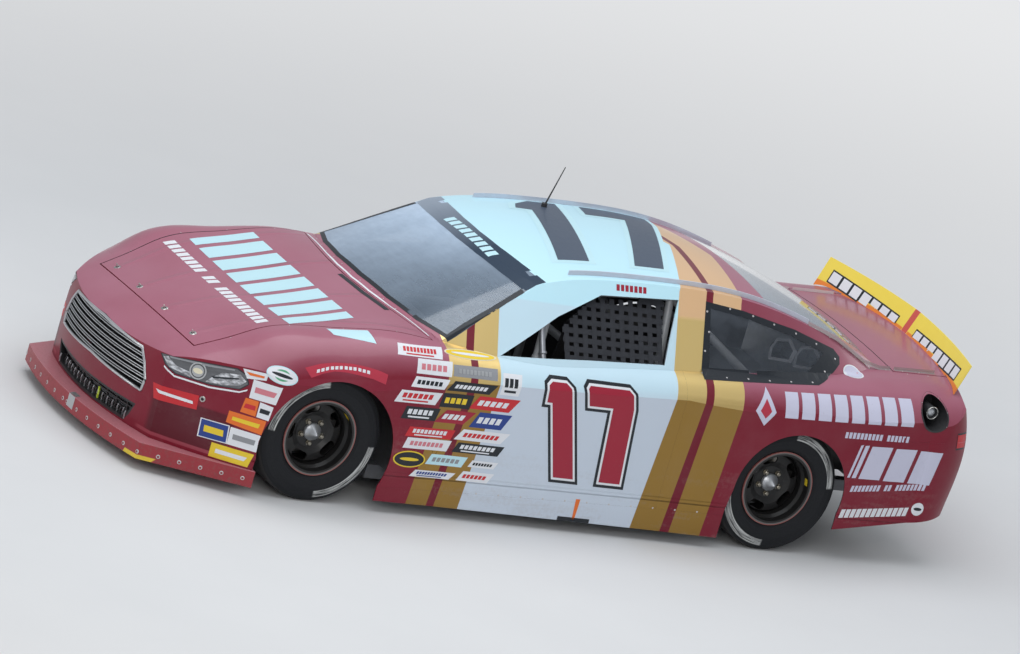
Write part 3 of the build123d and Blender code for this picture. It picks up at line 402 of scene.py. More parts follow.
def lipFinish():
    f = Finish("lipPaint")
    streak = f.noise(16, 5, 0.65, f.stretched(1, 1, 0.25))
    chip = f.noise(60, 4, 0.7)
    low = (0.085 - f.z).atLeast(0.0) * 30
    scuff = ((chip - 0.52) * 5 + low * 0.5).atLeast(0.0).atMost(1.0)
    color = f.blend(streak * 0.6, (0.35, 0.038, 0.050), (0.25, 0.026, 0.036))
    color = f.blend(scuff * 0.55, color, (0.16, 0.10, 0.09))
    nick = (f.x - f.z * 0.4).between(0.565, 0.70, 0.004) * (1 - f.z.above(0.082, 0.003))
    color = f.blend(nick, color, (0.72, 0.52, 0.05))
    # Painted highlight: the lip's top face is lightened
    shelfHighlight = f.z.above(0.147, 0.001)
    color = f.blend(shelfHighlight * 0.55, color, (0.56, 0.26, 0.30))
    return f.wear(
        color=color, rough=0.42 + scuff * 0.3, coat=0.10, specular=0.3,
        normal=f.bump(chip, 0.0005, 0.5),
    )


def spoilerFinish():
    f = Finish("spoilerYellow")
    side = abs(f.x)
    grime = f.noise(18, 5, 0.6)
    color = f.blend(grime * 0.5, (0.90, 0.72, 0.085), (0.80, 0.60, 0.05))
    edge = 1 - (f.z + side * side * 0.048).above(1.019, 0.004)
    color = f.blend(edge * side.above(0.03, 0.004), color, (0.80, 0.22, 0.02))
    color = f.blend(1 - side.above(0.026, 0.002), color, (0.60, 0.08, 0.06))
    backWay = f.node("ShaderNodeSeparateXYZ", {}, f.facing, out="Y")
    color = f.blend(backWay.above(0.3, 0.1), color, (0.32, 0.02, 0.03))
    return f.wear(color=color, rough=0.33 + grime * 0.15, coat=0.4, normal=f.bump(grime, 0.0003, 0.5))


def glassFinish(name, tint, alpha, rough, streaky, even=False):
    f = Finish(name)
    cloud = f.noise(2.6, 5, 0.6, f.stretched(1.3, 0.5, 1.6))
    smear = f.noise(30, 4, 0.6, f.stretched(0.3, 1, 1))
    veil = (cloud * 0.7 + smear * 0.3 - 0.35) * streaky
    # Painted reflection: the glass turns paler and more opaque towards its top and towards the car's
    # right side, towards the middle where even is set
    sideways = abs(f.x) if even else f.x
    reach = (0.52 - sideways * 0.75 + (f.z - 1.1) * 1.5).clamped()
    color = f.blend(cloud, tint, tuple(min(1, c * 1.35 + 0.03) for c in tint))
    far = reach * 0.45 + reach * reach * 0.55
    color = f.blend(far * 0.9, color, tuple(min(1, c * 4.0 + 0.10) for c in tint))
    cover = (veil + far * (1 - alpha) * 0.55 + alpha).atMost(0.97)
    return f.wear(
        color=color, rough=rough + smear * 0.05, alpha=cover, coat=0.6,
        coatRough=0.03, specular=0.8,
    )


# Distances from the nearest wheel's middle, so one finish serves all four
def aroundWheel(f):
    front = 1 - f.y.above(-0.05, 0.01)
    middle = front * axleY + (1 - front) * rearAxleY
    py = f.y - middle
    pz = f.z - hubHeight
    return front, py, pz, (py * py + pz * pz) ** 0.5


def tyreFinish():
    f = Finish("tyreRubber")
    front, py, pz, radius = aroundWheel(f)
    rear = 1 - front
    angle = (rear * pz - front * py).math("ARCTAN2", rear * py + front * pz)
    sweep = f.node("ShaderNodeCombineXYZ", {}, angle, radius * 14.0, f.x * 2.0)
    cloud = f.noise(1.7, 4, 0.6, sweep)
    fine = f.noise(90, 5, 0.7)
    marble = f.noise(420, 3, 0.6)
    side = abs(f.x)
    tread = radius.above(0.338, 0.004)
    wall = 1 - tread
    color = f.blend(fine, (0.006, 0.007, 0.009), (0.020, 0.021, 0.024))
    ring = radius.between(0.286, 0.322, 0.003) * side.above(0.86, 0.01)
    arcs = angle.between(0.12, 1.50, 0.03) + angle.between(-3.0, -1.62, 0.03)
    smear = f.noise(
        1.0, 5, 0.65, f.node("ShaderNodeCombineXYZ", {}, angle * 2.6, radius * 190.0, f.x * 2.0),
    )
    edges = 1 - radius.between(0.292, 0.316, 0.003)
    smeared = ((smear - 0.40) * 5).clamped()
    patchy = (cloud * 2.4 - 0.1).clamped()
    chalk = ring * arcs * (smeared * 0.95 + edges * 0.35) * patchy
    color = f.blend((chalk * 0.9).atMost(1.0), color, (0.60, 0.61, 0.60))
    color = f.blend(tread * 0.55 * marble, color, (0.09, 0.085, 0.08))
    lines = (radius * 620.0).math("SINE") * wall * 0.25
    height = lines + fine * 0.35 + marble * tread * 0.8
    return f.wear(
        color=color, rough=0.62 + fine * 0.2 + tread * 0.1, specular=0.25,
        normal=f.bump(height, 0.0010, 0.8),
    )


def wheelFinish():
    f = Finish("wheelBlack")
    front, py, pz, radius = aroundWheel(f)
    dust = f.noise(30, 5, 0.65)
    color = f.blend(dust, (0.006, 0.007, 0.008), (0.024, 0.022, 0.021))
    edge = radius.between(0.2035, 0.209, 0.0008) * abs(f.x).above(0.885, 0.002)
    color = f.blend(edge, color, (0.30, 0.10, 0.09))
    inner = radius.between(0.1965, 0.2035, 0.0008) * abs(f.x).above(0.885, 0.002)
    color = f.blend(inner * 0.5, color, (0.25, 0.24, 0.23))
    return f.wear(
        color=color, rough=0.34 + dust * 0.2, coat=0.12, specular=0.3, normal=f.bump(dust, 0.0004, 0.5),
    )


def radiatorFinish():
    f = Finish("radiatorFins")
    fins = (f.x * 2100.0).math("SINE")
    rows = (f.z * 520.0).math("SINE").above(0.7, 0.2)
    color = f.blend(rows, (0.020, 0.020, 0.022), (0.060, 0.060, 0.062))
    return f.wear(color=color, rough=0.5, metal=0.6, normal=f.bump(fins * 0.5 + rows, 0.001, 0.7))


finishes = {
    "livery": liveryFinish(),
    "lip": lipFinish(),
    "spoiler": spoilerFinish(),
    "windshield": glassFinish("windshieldClear", (0.12, 0.16, 0.21), 0.50, 0.05, 0.8),
    "rearGlass": glassFinish("rearClear", (0.24, 0.29, 0.35), 0.62, 0.06, 0.4),
    "sideGlass": glassFinish("sideClear", (0.10, 0.12, 0.15), 0.10, 0.04, 0.5, True),
    "black": plainFinish("blackPlastic", (0.018, 0.018, 0.020), 0.45, 0, (0.034, 0.034, 0.036), 60),
    "chrome": plainFinish(
        "brightMetal", (0.56, 0.57, 0.58), 0.30, 0.75, (0.44, 0.45, 0.47), 30, 0.0001,
    ),
    "steel": plainFinish("oiledSteel", (0.30, 0.30, 0.31), 0.38, 0.9, (0.16, 0.15, 0.15), 45),
    "zinc": plainFinish("platedSteel", (0.62, 0.62, 0.60), 0.30, 1.0, (0.42, 0.41, 0.38), 80),
    "frameGrey": plainFinish(
        "chassisPaint", (0.17, 0.18, 0.20), 0.42, 0, (0.10, 0.10, 0.11), 35, coat=0.2,
    ),
    "cageGrey": plainFinish(
        "cagePaint", (0.40, 0.42, 0.44), 0.38, 0, (0.30, 0.31, 0.33), 26, coat=0.25,
    ),
    "sheet": plainFinish("foldedSheet", (0.46, 0.47, 0.49), 0.36, 0.85, (0.30, 0.31, 0.33), 24),
    "seat": plainFinish("seatShell", (0.030, 0.030, 0.034), 0.55, 0, (0.055, 0.055, 0.06), 70),
    "iron": plainFinish("castIron", (0.12, 0.12, 0.125), 0.62, 0.5, (0.07, 0.065, 0.06), 90, 0.0012),
    "disc": plainFinish("brakeDisc", (0.34, 0.33, 0.32), 0.33, 1.0, (0.22, 0.20, 0.18), 55),
    "pipe": plainFinish("stainedPipe", (0.13, 0.11, 0.09), 0.45, 0.8, (0.06, 0.05, 0.045), 20),
    "suede": plainFinish("suedeRim", (0.028, 0.027, 0.027), 0.85, 0, (0.05, 0.048, 0.047), 160, 0.0006),
    "rail": plainFinish("railStrip", (0.56, 0.62, 0.72), 0.4, 0, (0.50, 0.50, 0.56), 20),
    "tyre": tyreFinish(),
    "wheel": wheelFinish(),
    "radiator": radiatorFinish(),
}
dressing = {
    "livery": "nose hood cowl fender_left fender_right door_left door_right quarter_left quarter_right "
    "rear_bumper deck_lid deck_panel side_skirts greenhouse",
    "lip": "splitter", "rail": "roof_rails", "spoiler": "spoiler", "windshield": "windshield",
    "rearGlass": "rear_window", "sideGlass": "quarter_windows",
    "black": "grille lower_grille fuel_filler antenna fuel_cell",
    "frameGrey": "frame_rails control_arms trailing_arms", "cageGrey": "roll_cage",
    "sheet": "floor_pan dashboard", "seat": "seat", "suede": "steering_wheel",
    "steel": "steering_column steering_link knuckle_left knuckle_right rear_axle driveshaft",
    "iron": "engine_block", "radiator": "radiator", "pipe": "exhaust",
}
for key, names in dressing.items():
    for nodeName in names.split():
        nodes[nodeName].data.materials.clear()
        nodes[nodeName].data.materials.append(finishes[key])
for corner in ("front_left", "front_right", "rear_left", "rear_right"):
    for prefix, key in (("wheel_", "wheel"), ("tyre_", "tyre"), ("brake_disc_", "disc")):
        nodes[prefix + corner].data.materials.clear()
        nodes[prefix + corner].data.materials.append(finishes[key])
nodes["window_net"].data.materials.clear()
nodes["window_net"].data.materials.append(finishes["black"])
print("finishes ready")


# Stickers, rivets and fittings are laid on the panels by casting straight lines at them
def treeOf(names):
    verts, faces = [], []
    for name in names.split():
        mesh = nodes[name].data
        start = len(verts)
        verts += [v.co.copy() for v in mesh.vertices]
        faces += [[start + i for i in face.vertices] for face in mesh.polygons]
    return BVHTree.FromPolygons(verts, faces)


skin = treeOf(
    "nose hood cowl fender_left fender_right door_left door_right quarter_left quarter_right "
    "rear_bumper deck_lid deck_panel side_skirts greenhouse windshield rear_window quarter_windows"
)
lipTree = treeOf("splitter")
bladeTree = treeOf("spoiler")
grilleTree = treeOf("grille")
glassTree = treeOf("windshield greenhouse")


# A place from its x, its distance aft of the front axle and its height, in millimetres
def spot(x, aft, z):
    return Vector((x / 1000, aft / 1000 + axleY, z / 1000))


def axesOf(way):
    outward = Vector(way).normalized()
    across = Vector((0, 0, 1)).cross(outward)
    across = across.normalized() if across.length > 0.01 else Vector((1, 0, 0))
    return outward, across, outward.cross(across)


def land(point, outward, tree, lift=0.0):
    hit, normal, index, far = tree.ray_cast(point + outward * 2.5, -outward, 5)
    if hit is None:
        return None
    return hit + normal * lift


# Thin sheets of one finish on one body gather here, and become one piece at the end
gathered = {}


def gather(body, finishName, verts, faces):
    store = gathered.setdefault((body, finishName), ([], []))
    start = len(store[0])
    store[0].extend(verts)
    store[1].extend([[start + i for i in face] for face in faces])


# A sheet cut to an outline seen square to one direction, split until it follows the panels
def sticker(points, way, finishName, lift=0.8, body="chassis", tree=None, step=0.026, mirror=False):
    outward, across, upward = axesOf(way)
    tree = tree or skin
    flat = [(p.dot(across), p.dot(upward)) for p in points]
    if sum(a[0] * b[1] - b[0] * a[1] for a, b in zip(flat, flat[1:] + flat[:1])) < 0:
        flat.reverse()
    bm = bmesh.new()
    bm.faces.new([bm.verts.new((u, v, 0)) for u, v in flat])
    bm.normal_update()
    bmesh.ops.triangulate(bm, faces=bm.faces[:])
    for axis in (0, 1):
        low = min(p[axis] for p in flat)
        high = max(p[axis] for p in flat)
        cut = (int(low / step) + 1) * step if low > 0 else int(low / step) * step
        while cut < high:
            if cut > low:
                where = (cut, 0, 0) if axis == 0 else (0, cut, 0)
                normal = (1, 0, 0) if axis == 0 else (0, 1, 0)
                geometry = bm.verts[:] + bm.edges[:] + bm.faces[:]
                bmesh.ops.bisect_plane(bm, geom=geometry, plane_co=where, plane_no=normal, dist=1e-6)
            cut += step

    def place(u, v):
        return land(across * u + upward * v, outward, tree, lift / 1000)

    for again in range(3):
        bent = []
        for edge in bm.edges:
            a, b = (vert.co for vert in edge.verts)
            if (a - b).length < 0.003:
                continue
            pa, pb, pm = place(a.x, a.y), place(b.x, b.y), place((a.x + b.x) / 2, (a.y + b.y) / 2)
            if pa and pb and pm and (pm - (pa + pb) / 2).dot(outward) > 0.00025:
                bent.append(edge)
        if not bent:
            break
        bmesh.ops.subdivide_edges(bm, edges=bent, cuts=1)
        bmesh.ops.triangulate(bm, faces=[face for face in bm.faces if len(face.verts) > 4])
    # Where a cast slips past an edge and lands far inside, the sheet ends
    lost = []
    flatLong = {edge: edge.calc_length() for edge in bm.edges}
    for vert in bm.verts:
        found = place(vert.co.x, vert.co.y)
        if found is None:
            lost.append(vert)
        else:
            vert.co = found
    bmesh.ops.delete(bm, geom=lost, context="VERTS")
    torn = [edge for edge in bm.edges if edge.calc_length() > 4 * flatLong[edge] + 0.008]
    bmesh.ops.delete(bm, geom=torn, context="EDGES")
    loose = [vert for vert in bm.verts if not vert.link_faces]
    bmesh.ops.delete(bm, geom=loose, context="VERTS")
    bm.verts.index_update()
    verts = [v.co.copy() for v in bm.verts]
    faces = [[v.index for v in face.verts] for face in bm.faces]
    bm.free()
    gather(body, finishName, verts, faces)
    if mirror:
        turned = [face[::-1] for face in faces]
        gather(body, finishName, [Vector((-v.x, v.y, v.z)) for v in verts], turned)


def sideSticker(outline, finishName, lift=0.8, step=0.026):
    sticker(
        [spot(900, aft, z) for aft, z in outline], (1, 0, 0), finishName, lift, step=step, mirror=True,
    )


def ovalSticker(centre, way, wide, high, finishName, lift=0.8, mirror=True, tilt=0.0):
    outward, across, upward = axesOf(way)
    turned = across * cos(tilt) + upward * sin(tilt)
    raised = upward * cos(tilt) - across * sin(tilt)
    angles = [2 * pi * k / 28 for k in range(28)]
    ring = [
        centre + turned * (wide * cos(a) / 1000) + raised * (high * sin(a) / 1000)
        for a in angles
    ]
    sticker(ring, way, finishName, lift, mirror=mirror)


def grown(outline, amount):
    area = sum(a[0] * b[1] - b[0] * a[1] for a, b in zip(outline, outline[1:] + outline[:1]))
    sign = 1 if area > 0 else -1
    result = []
    count = len(outline)
    for i in range(count):
        before, here, after = outline[i - 1], outline[i], outline[(i + 1) % count]
        d1 = Vector((here[0] - before[0], here[1] - before[1])).normalized()
        d2 = Vector((after[0] - here[0], after[1] - here[1])).normalized()
        n1 = Vector((d1.y, -d1.x)) * sign
        n2 = Vector((d2.y, -d2.x)) * sign
        middle = n1 + n2
        scale = amount * 2 / max(middle.length_squared, 0.7)
        result.append((here[0] + middle.x * scale, here[1] + middle.y * scale))
    return result


def oval(centre, rx, rz, count=28):
    return [
        (centre[0] + rx * cos(2 * pi * i / count), centre[1] + rz * sin(2 * pi * i / count))
        for i in range(count)
    ]


def stickerFinish(name, color, rough=0.34, metal=0.0):
    f = Finish(name)
    scuff = f.noise(46, 6, 0.7)
    broad = f.noise(5, 3, 0.5)
    faded = f.blend(broad * 0.35, color, tuple(min(1, c * 0.82 + 0.015) for c in color))
    worn = ((scuff - 0.62) * 5).atLeast(0.0).atMost(0.45)
    mixed = f.blend(worn, faded, tuple(c * 0.6 + 0.05 for c in color))
    return f.wear(
        color=mixed, rough=rough + scuff * 0.14, metal=metal, coat=0.12, specular=0.35,
        normal=f.bump(scuff, 0.0002, 0.5),
    )


stickerColors = {
    "inkWhite": (0.76, 0.78, 0.82), "inkBlack": (0.010, 0.014, 0.020),
    "inkRed": (0.56, 0.020, 0.028), "inkDarkRed": (0.345, 0.013, 0.036),
    "inkYellow": (0.80, 0.58, 0.03), "inkBlue": (0.018, 0.050, 0.25),
    "inkOrange": (0.78, 0.16, 0.02), "inkSky": (0.52, 0.77, 0.84),
    "inkSlate": (0.062, 0.085, 0.125), "inkPink": (0.62, 0.20, 0.24),
    "inkLilac": (0.60, 0.60, 0.74), "inkGreen": (0.10, 0.36, 0.20),
    "inkGrey": (0.27, 0.28, 0.30), "inkCream": (0.76, 0.70, 0.52),
    "inkLamp": (0.40, 0.41, 0.42), "inkStrip": (0.47, 0.035, 0.065),
    "inkTag": (0.55, 0.70, 0.05),
}
for colorName, colorValue in stickerColors.items():
    finishes[colorName] = stickerFinish(colorName, colorValue)
finishes["inkSilver"] = stickerFinish("inkSilver", (0.52, 0.53, 0.54), 0.3, 0.8)


# Race numbers, drawn upright and then leaned
numberSet = {
    "height": 580, "lean": 0.32, "low": 262, "first": 1150, "second": 1437, "white": 12, "black": 28,
    "both": 2869,
}
shapeOne = [(84, 548), (168, 548), (192, 524), (192, 34), (70, 34), (70, 440), (38, 440), (58, 530)]
shapeSeven = [
    (10, 534), (26, 550), (262, 550), (282, 528), (282, 452), (190, 34), (62, 34), (154, 446),
    (10, 446),
]
numberLayers = (
    (numberSet["black"], "inkBlack", 0.8), (numberSet["white"], "inkWhite", 1.5),
    (0, "inkDarkRed", 2.2),
)
for shape, base in ((shapeOne, numberSet["first"]), (shapeSeven, numberSet["second"])):
    for amount, ink, lift in numberLayers:
        outline = grown(shape, amount) if amount else shape
        for hand in (1, -1):
            leaned = []
            for u, v in outline:
                along = base + u if hand > 0 else numberSet["both"] - base - u
                drop = numberSet["lean"] * (numberSet["height"] - v)
                leaned.append(spot(hand * 900, along + drop, numberSet["low"] + v))
            sticker(leaned, (hand, 0, 0), ink, lift, step=0.02)
# The roof carries the same figures, wider, read from the car's left
roofSet = {"foot": 400, "tall": 1.83, "lean": 0.30}
roofShapes = (
    ([(92, 548), (168, 548), (168, 34), (84, 34), (84, 440), (42, 452), (50, 500)], 84, 1396, 2.25),
    ([(34, 548), (268, 548), (268, 462), (206, 34), (106, 34), (170, 452), (34, 452)], 34, 1733, 1.80),
)
for shape, left, start, wide in roofShapes:
    for amount, ink, lift in ((18, "inkSky", 0.8), (0, "inkSlate", 1.5)):
        outline = grown(shape, amount) if amount else shape
        places = []
        for u, v in outline:
            x = roofSet["foot"] - (v - 34) * roofSet["tall"]
            places.append(
                spot(x, start + (u - left) * wide + roofSet["lean"] * (roofSet["foot"] - x), 1300)
            )
        sticker(places, (0, 0, 1), ink, lift, step=0.03)
print("numbers laid on")

# Blank patches ahead of the doors: aft and height of two corners, lean, ground and bar inks
patchRows = (
    (323, 849, 590, 893, 6, "inkWhite", "inkRed"),
    (430, 776, 640, 844, 4, "inkWhite", "inkPink"),
    (648, 782, 914, 834, 2, "inkGrey", "inkSilver"),
    (944, 714, 1058, 822, 4, "inkWhite", "inkBlack"),
    (415, 708, 618, 762, 12, "inkWhite", "inkBlack"),
    (640, 706, 900, 760, 20, "inkBlack", "inkWhite"),
    (338, 620, 590, 688, 14, "inkWhite", "inkRed"),
    (606, 614, 792, 692, 4, "inkBlack", "inkYellow"),
    (806, 620, 1050, 694, 26, "inkRed", "inkWhite"),
    (400, 532, 610, 602, 8, "inkBlack", "inkWhite"),
    (628, 528, 806, 600, 30, "inkDarkRed", "inkWhite"),
    (836, 520, 1030, 606, 22, "inkBlue", "inkWhite"),
    (456, 438, 736, 492, 8, "inkRed", "inkWhite"),
    (768, 444, 1050, 504, 22, "inkWhite", "inkRed"),
    (462, 372, 732, 432, 8, "inkWhite", "inkPink"),
    (768, 374, 1046, 430, 14, "inkBlack", "inkWhite"),
    (630, 294, 850, 352, 12, "inkSky", "inkGrey"),
    (884, 302, 1040, 340, 10, "inkWhite", "inkBlack"),
    (556, 220, 800, 258, 16, "inkWhite", "inkBlue"),
    (842, 222, 1030, 276, 16, "inkWhite", "inkRed"),
)
for row, (low, bottom, high, top, lean, ground, bar) in enumerate(patchRows):
    sideSticker(
        [(low - lean, bottom), (high - lean, bottom), (high + lean, top), (low + lean, top)], ground,
    )
    tall = top - bottom
    inset = (high - low) * 0.12
    floorZ = bottom + tall * (0.30 if row % 3 else 0.40)
    ceilZ = top - tall * (0.30 if row % 3 else 0.20)
    count = max(3, int((high - low - 2 * inset) / (tall * 0.42)))
    pitch = (high - low - 2 * inset) / count
    for k in range(count):
        a = low + inset + k * pitch - lean * 0.4
        b = a + pitch * 0.74
        sideSticker(
            [(a, floorZ), (b, floorZ), (b + lean * 0.5, ceilZ), (a + lean * 0.5, ceilZ)], bar, 1.5,
            0.05,
        )
    if row % 3 == 0:
        a, b = low + inset * 1.6 - lean, high - inset * 1.6 - lean
        c, d = bottom + tall * 0.14, bottom + tall * 0.26
        sideSticker([(a, c), (b, c), (b, d), (a, d)], bar, 1.5, 0.05)
sideSticker(oval((515, 312), 98, 46), "inkYellow")
sideSticker(oval((515, 312), 90, 39), "inkBlack", 1.5)
sideSticker(oval((515, 312), 58, 9), "inkYellow", 2.2)
for ink, rx, rz, lift in (
    ("inkCream", 160, 46, 0.8), ("inkYellow", 150, 38, 1.5), ("inkWhite", 118, 12, 2.2),
):
    outline = [spot(840, aft, z) for aft, z in oval((765, 872), rx, rz)]
    sticker(outline, (0.7, 0, 0.7), ink, lift, mirror=True)

# Patches on the nose corners, each as four corners seen square to the corner
cornerPatches = (
    ("inkWhite", "inkOrange", ((838, -520, 661), (912, -408, 672), (913, -411, 634), (859, -497, 616))),
    ("inkWhite", "inkPink", ((880, -466, 622), (957, -330, 619), (957, -345, 522), (883, -466, 522))),
    ("inkOrange", "inkRed", ((874, -480, 517), (914, -420, 517), (914, -418, 434), (870, -488, 437))),
    ("inkWhite", "inkBlack", ((917, -414, 516), (955, -352, 508), (950, -356, 430), (917, -414, 434))),
    (
        "inkOrange", "inkYellow",
        ((838, -532, 426), (948, -366, 426), (945, -372, 348), (837, -533, 362)),
    ),
    ("inkWhite", "inkGrey", ((856, -507, 345), (944, -370, 343), (944, -373, 250), (856, -504, 250))),
    ("inkYellow", "inkWhite", ((812, -566, 236), (940, -378, 236), (930, -392, 160), (812, -566, 160))),
)
cornerWay = (0.82, -0.57, 0.0)


def shrunk(corners, across, up):
    middle = sum(corners, Vector()) / len(corners)
    return [
        middle + Vector(((p.x - middle.x) * across, (p.y - middle.y) * across, (p.z - middle.z) * up))
        for p in corners
    ]


for ground, bar, corners in cornerPatches:
    places = [spot(*corner) for corner in corners]
    sticker(places, cornerWay, ground, mirror=True)
    sticker(shrunk(places, 0.74, 0.30), cornerWay, bar, 1.5, mirror=True)
bluePatch = [spot(758, -637, 345), spot(853, -512, 349), spot(856, -504, 250), spot(761, -632, 244)]
sticker(bluePatch, cornerWay, "inkWhite", 0.8, mirror=True)
sticker(shrunk(bluePatch, 0.92, 0.90), cornerWay, "inkBlue", 1.5, mirror=True)
sticker(shrunk(bluePatch, 0.66, 0.34), cornerWay, "inkYellow", 2.2, mirror=True)
roundSet = {"place": spot(915, -332, 672), "way": (0.86, -0.42, 0.28), "tilt": -0.08}
roundLayers = (
    ("inkSky", 86, 46, 0.8), ("inkWhite", 80, 41, 1.2), ("inkGreen", 44, 30, 1.6),
    ("inkWhite", 74, 19, 2.0), ("inkBlack", 58, 9, 2.4),
)
for ink, wide, high, lift in roundLayers:
    ovalSticker(roundSet["place"], roundSet["way"], wide, high, ink, lift, tilt=roundSet["tilt"])
redStrip = [spot(540, -838, 432), spot(734, -667, 452), spot(738, -663, 376), spot(567, -828, 356)]
stripWay = (0.62, -0.78, 0.0)
sticker(redStrip, stripWay, "inkRed", mirror=True)
sticker(shrunk(redStrip, 0.8, 0.20), stripWay, "inkWhite", 1.5, mirror=True)

# Strip over the front arch
archOuter = [(-222, 733), (-135, 764), (-49, 780), (45, 784), (134, 776), (200, 764), (262, 746)]
archInner = [(256, 690), (180, 712), (99, 724), (25, 732), (-48, 731), (-115, 712), (-180, 681)]
archWay = (0.93, -0.05, 0.35)
sticker([spot(930, a, z) for a, z in archOuter + archInner], archWay, "inkStrip", mirror=True)
archMiddle = [(-160, 718), (-80, 746), (0, 757), (80, 757), (160, 745)]
for (a0, z0), (a1, z1) in zip(archMiddle, archMiddle[1:]):
    for share in (0.08, 0.40, 0.72):
        lowAft, lowZ = a0 + (a1 - a0) * share, z0 + (z1 - z0) * share
        highAft, highZ = a0 + (a1 - a0) * (share + 0.22), z0 + (z1 - z0) * (share + 0.22)
        corners = [(lowAft, lowZ - 9), (highAft, highZ - 9), (highAft, highZ + 9), (lowAft, lowZ + 9)]
        sticker([spot(930, a, z) for a, z in corners], archWay, "inkWhite", 1.3, mirror=True)


# A row of short plain bars between two places, for a line of small marks
def barRow(
    start, end, height, count, ink, way, lean=0.0, words=(), body="chassis", lift=0.8, fill=0.72,
    mirror=True, tree=None,
):
    outward, across, upward = axesOf(way)
    along = (end - start) / count
    unit = along.normalized()
    upward = outward.cross(unit) if outward.cross(unit).dot(upward) > 0 else unit.cross(outward)
    for i in range(count):
        if i in words:
            continue
        a = start + along * i
        b = a + along * fill
        top = upward * (height / 1000) + unit * (lean * height / 1000)
        sticker([a, b, b + top, a + top], way, ink, lift, body=body, mirror=mirror, tree=tree)


side = (1, 0, 0)
barRow(spot(950, 2668, 768), spot(950, 3500, 792), 122, 8, "inkLilac", side, fill=0.78)
sideSticker([(2556, 712), (2612, 790), (2548, 900), (2484, 788)], "inkLilac")
sideSticker([(2553, 752), (2584, 792), (2548, 852), (2514, 790)], "inkStrip", 1.2)
barRow(spot(950, 3068, 694), spot(950, 3478, 702), 34, 17, "inkLilac", side, words=(10,))
for low, high in ((3168, 3184), (3196, 3222), (3240, 3372), (3396, 3530), (3554, 3690)):
    sideSticker([(low - 14, 476), (high - 14, 478), (high + 16, 666), (low + 16, 662)], "inkLilac")
barRow(spot(950, 3196, 398), spot(950, 3662, 446), 34, 20, "inkLilac", side, lean=0.25, words=(8, 11))
barRow(spot(950, 3176, 246), spot(950, 3600, 292), 48, 13, "inkWhite", side, lean=0.25, fill=0.8)
sideSticker(oval((3652, 338), 36, 37, 20), "inkWhite")
sideSticker(oval((3652, 338), 24, 9, 16), "inkBlack", 1.2)
barRow(spot(640, 1650, 1253), spot(640, 1842, 1255), 34, 7, "inkDarkRed", (0.86, 0, 0.5))
for ink, wide, tall, lift in (
    ("inkWhite", 66, 50, 0.8), ("inkLilac", 58, 43, 1.5), ("inkPink", 40, 8, 2.2),
):
    ovalSticker(spot(690, 3185, 978), (0.62, 0.12, 0.78), wide, tall, ink, lift)
# Painted shade: a black sheet at the foot of the skirt stands for the notch there
notchSet = {"from": 1491, "to": 1686, "tall": 22}
notchFoot = min(v.co.z for v in nodes["side_skirts"].data.vertices) * 1000 + 2
notchShade = [(notchSet["from"], notchFoot), (notchSet["to"], notchFoot)]
notchShade += [(aft, z + notchSet["tall"]) for aft, z in reversed(notchShade)]
sideSticker(notchShade, "inkBlack", 1.0)
sideSticker([(1571, 190), (1598, 190), (1594, 74), (1580, 74)], "inkOrange", 1.0)

# Pale slanted bars and a row of small marks across the hood
hoodBars = (
    (-640, -560), (-520, -392), (-352, -224), (-184, -56), (-16, 112), (152, 280), (320, 448),
    (488, 580),
)
for low, high in hoodBars:
    corners = [(low + 60, -216), (high + 60, -216), (high - 26, 204), (low - 26, 204)]
    sticker([spot(x, aft, 900) for x, aft in corners], (0, -0.15, 1), "inkSky", body="hood", step=0.03)
outerBar = [(716, -34), (782, -20), (846, 204), (736, 194)]
sticker([spot(x, aft, 900) for x, aft in outerBar], (0.25, -0.1, 0.95), "inkSky", step=0.03)
barRow(
    spot(-585, -366, 850), spot(585, -366, 850), 66, 22, "inkWhite", (0, -0.3, 1), lean=0.1,
    words=(8, 11), body="hood", mirror=False,
)
print("stickers laid on")

# Headlight covers
lampLine = [
    (521, -832, 589), (640, -770, 612), (740, -652, 634), (824, -540, 653), (858, -497, 634),
    (872, -480, 588), (851, -512, 548), (757, -636, 524), (630, -781, 520), (571, -820, 548),
]
lampWay = (0.66, -0.75, 0.08)
lampPlaces = [spot(*p) for p in lampLine]


def lampFinish():
    f = Finish("lampCover")
    cloud = f.noise(14, 3, 0.5, f.stretched(1, 1, 2.2))
    lines = (f.z * 900.0 + cloud * 3.0).math("SINE")
    color = f.blend(cloud, (0.035, 0.036, 0.040), (0.16, 0.165, 0.18))
    return f.wear(
        color=color, rough=0.16, metal=0.3, coat=0.9, coatRough=0.04, normal=f.bump(lines, 0.0003, 0.4),
    )


# Painted reflection: pale patches on the headlight cover
def paintedReflectionFinish():
    f = Finish("lampPaintedReflection")
    cloud = f.noise(30, 3, 0.5, f.stretched(1, 1, 2.6))
    color = f.blend(((cloud - 0.42) * 5).clamped(), (0.20, 0.205, 0.22), (0.66, 0.68, 0.72))
    return f.wear(color=color, rough=0.2, coat=0.9, coatRough=0.04, normal=f.bump(cloud, 0.0006, 0.5))


finishes["lamp"] = lampFinish()
finishes["lampPale"] = paintedReflectionFinish()
lampTop = [
    (521, -832, 589), (640, -770, 612), (740, -652, 634), (824, -540, 653), (858, -497, 634),
    (872, -480, 592),
]
lampLow = [
    (521, -832, 582), (571, -820, 548), (630, -781, 520), (757, -636, 524), (851, -512, 548),
    (872, -480, 580),
]


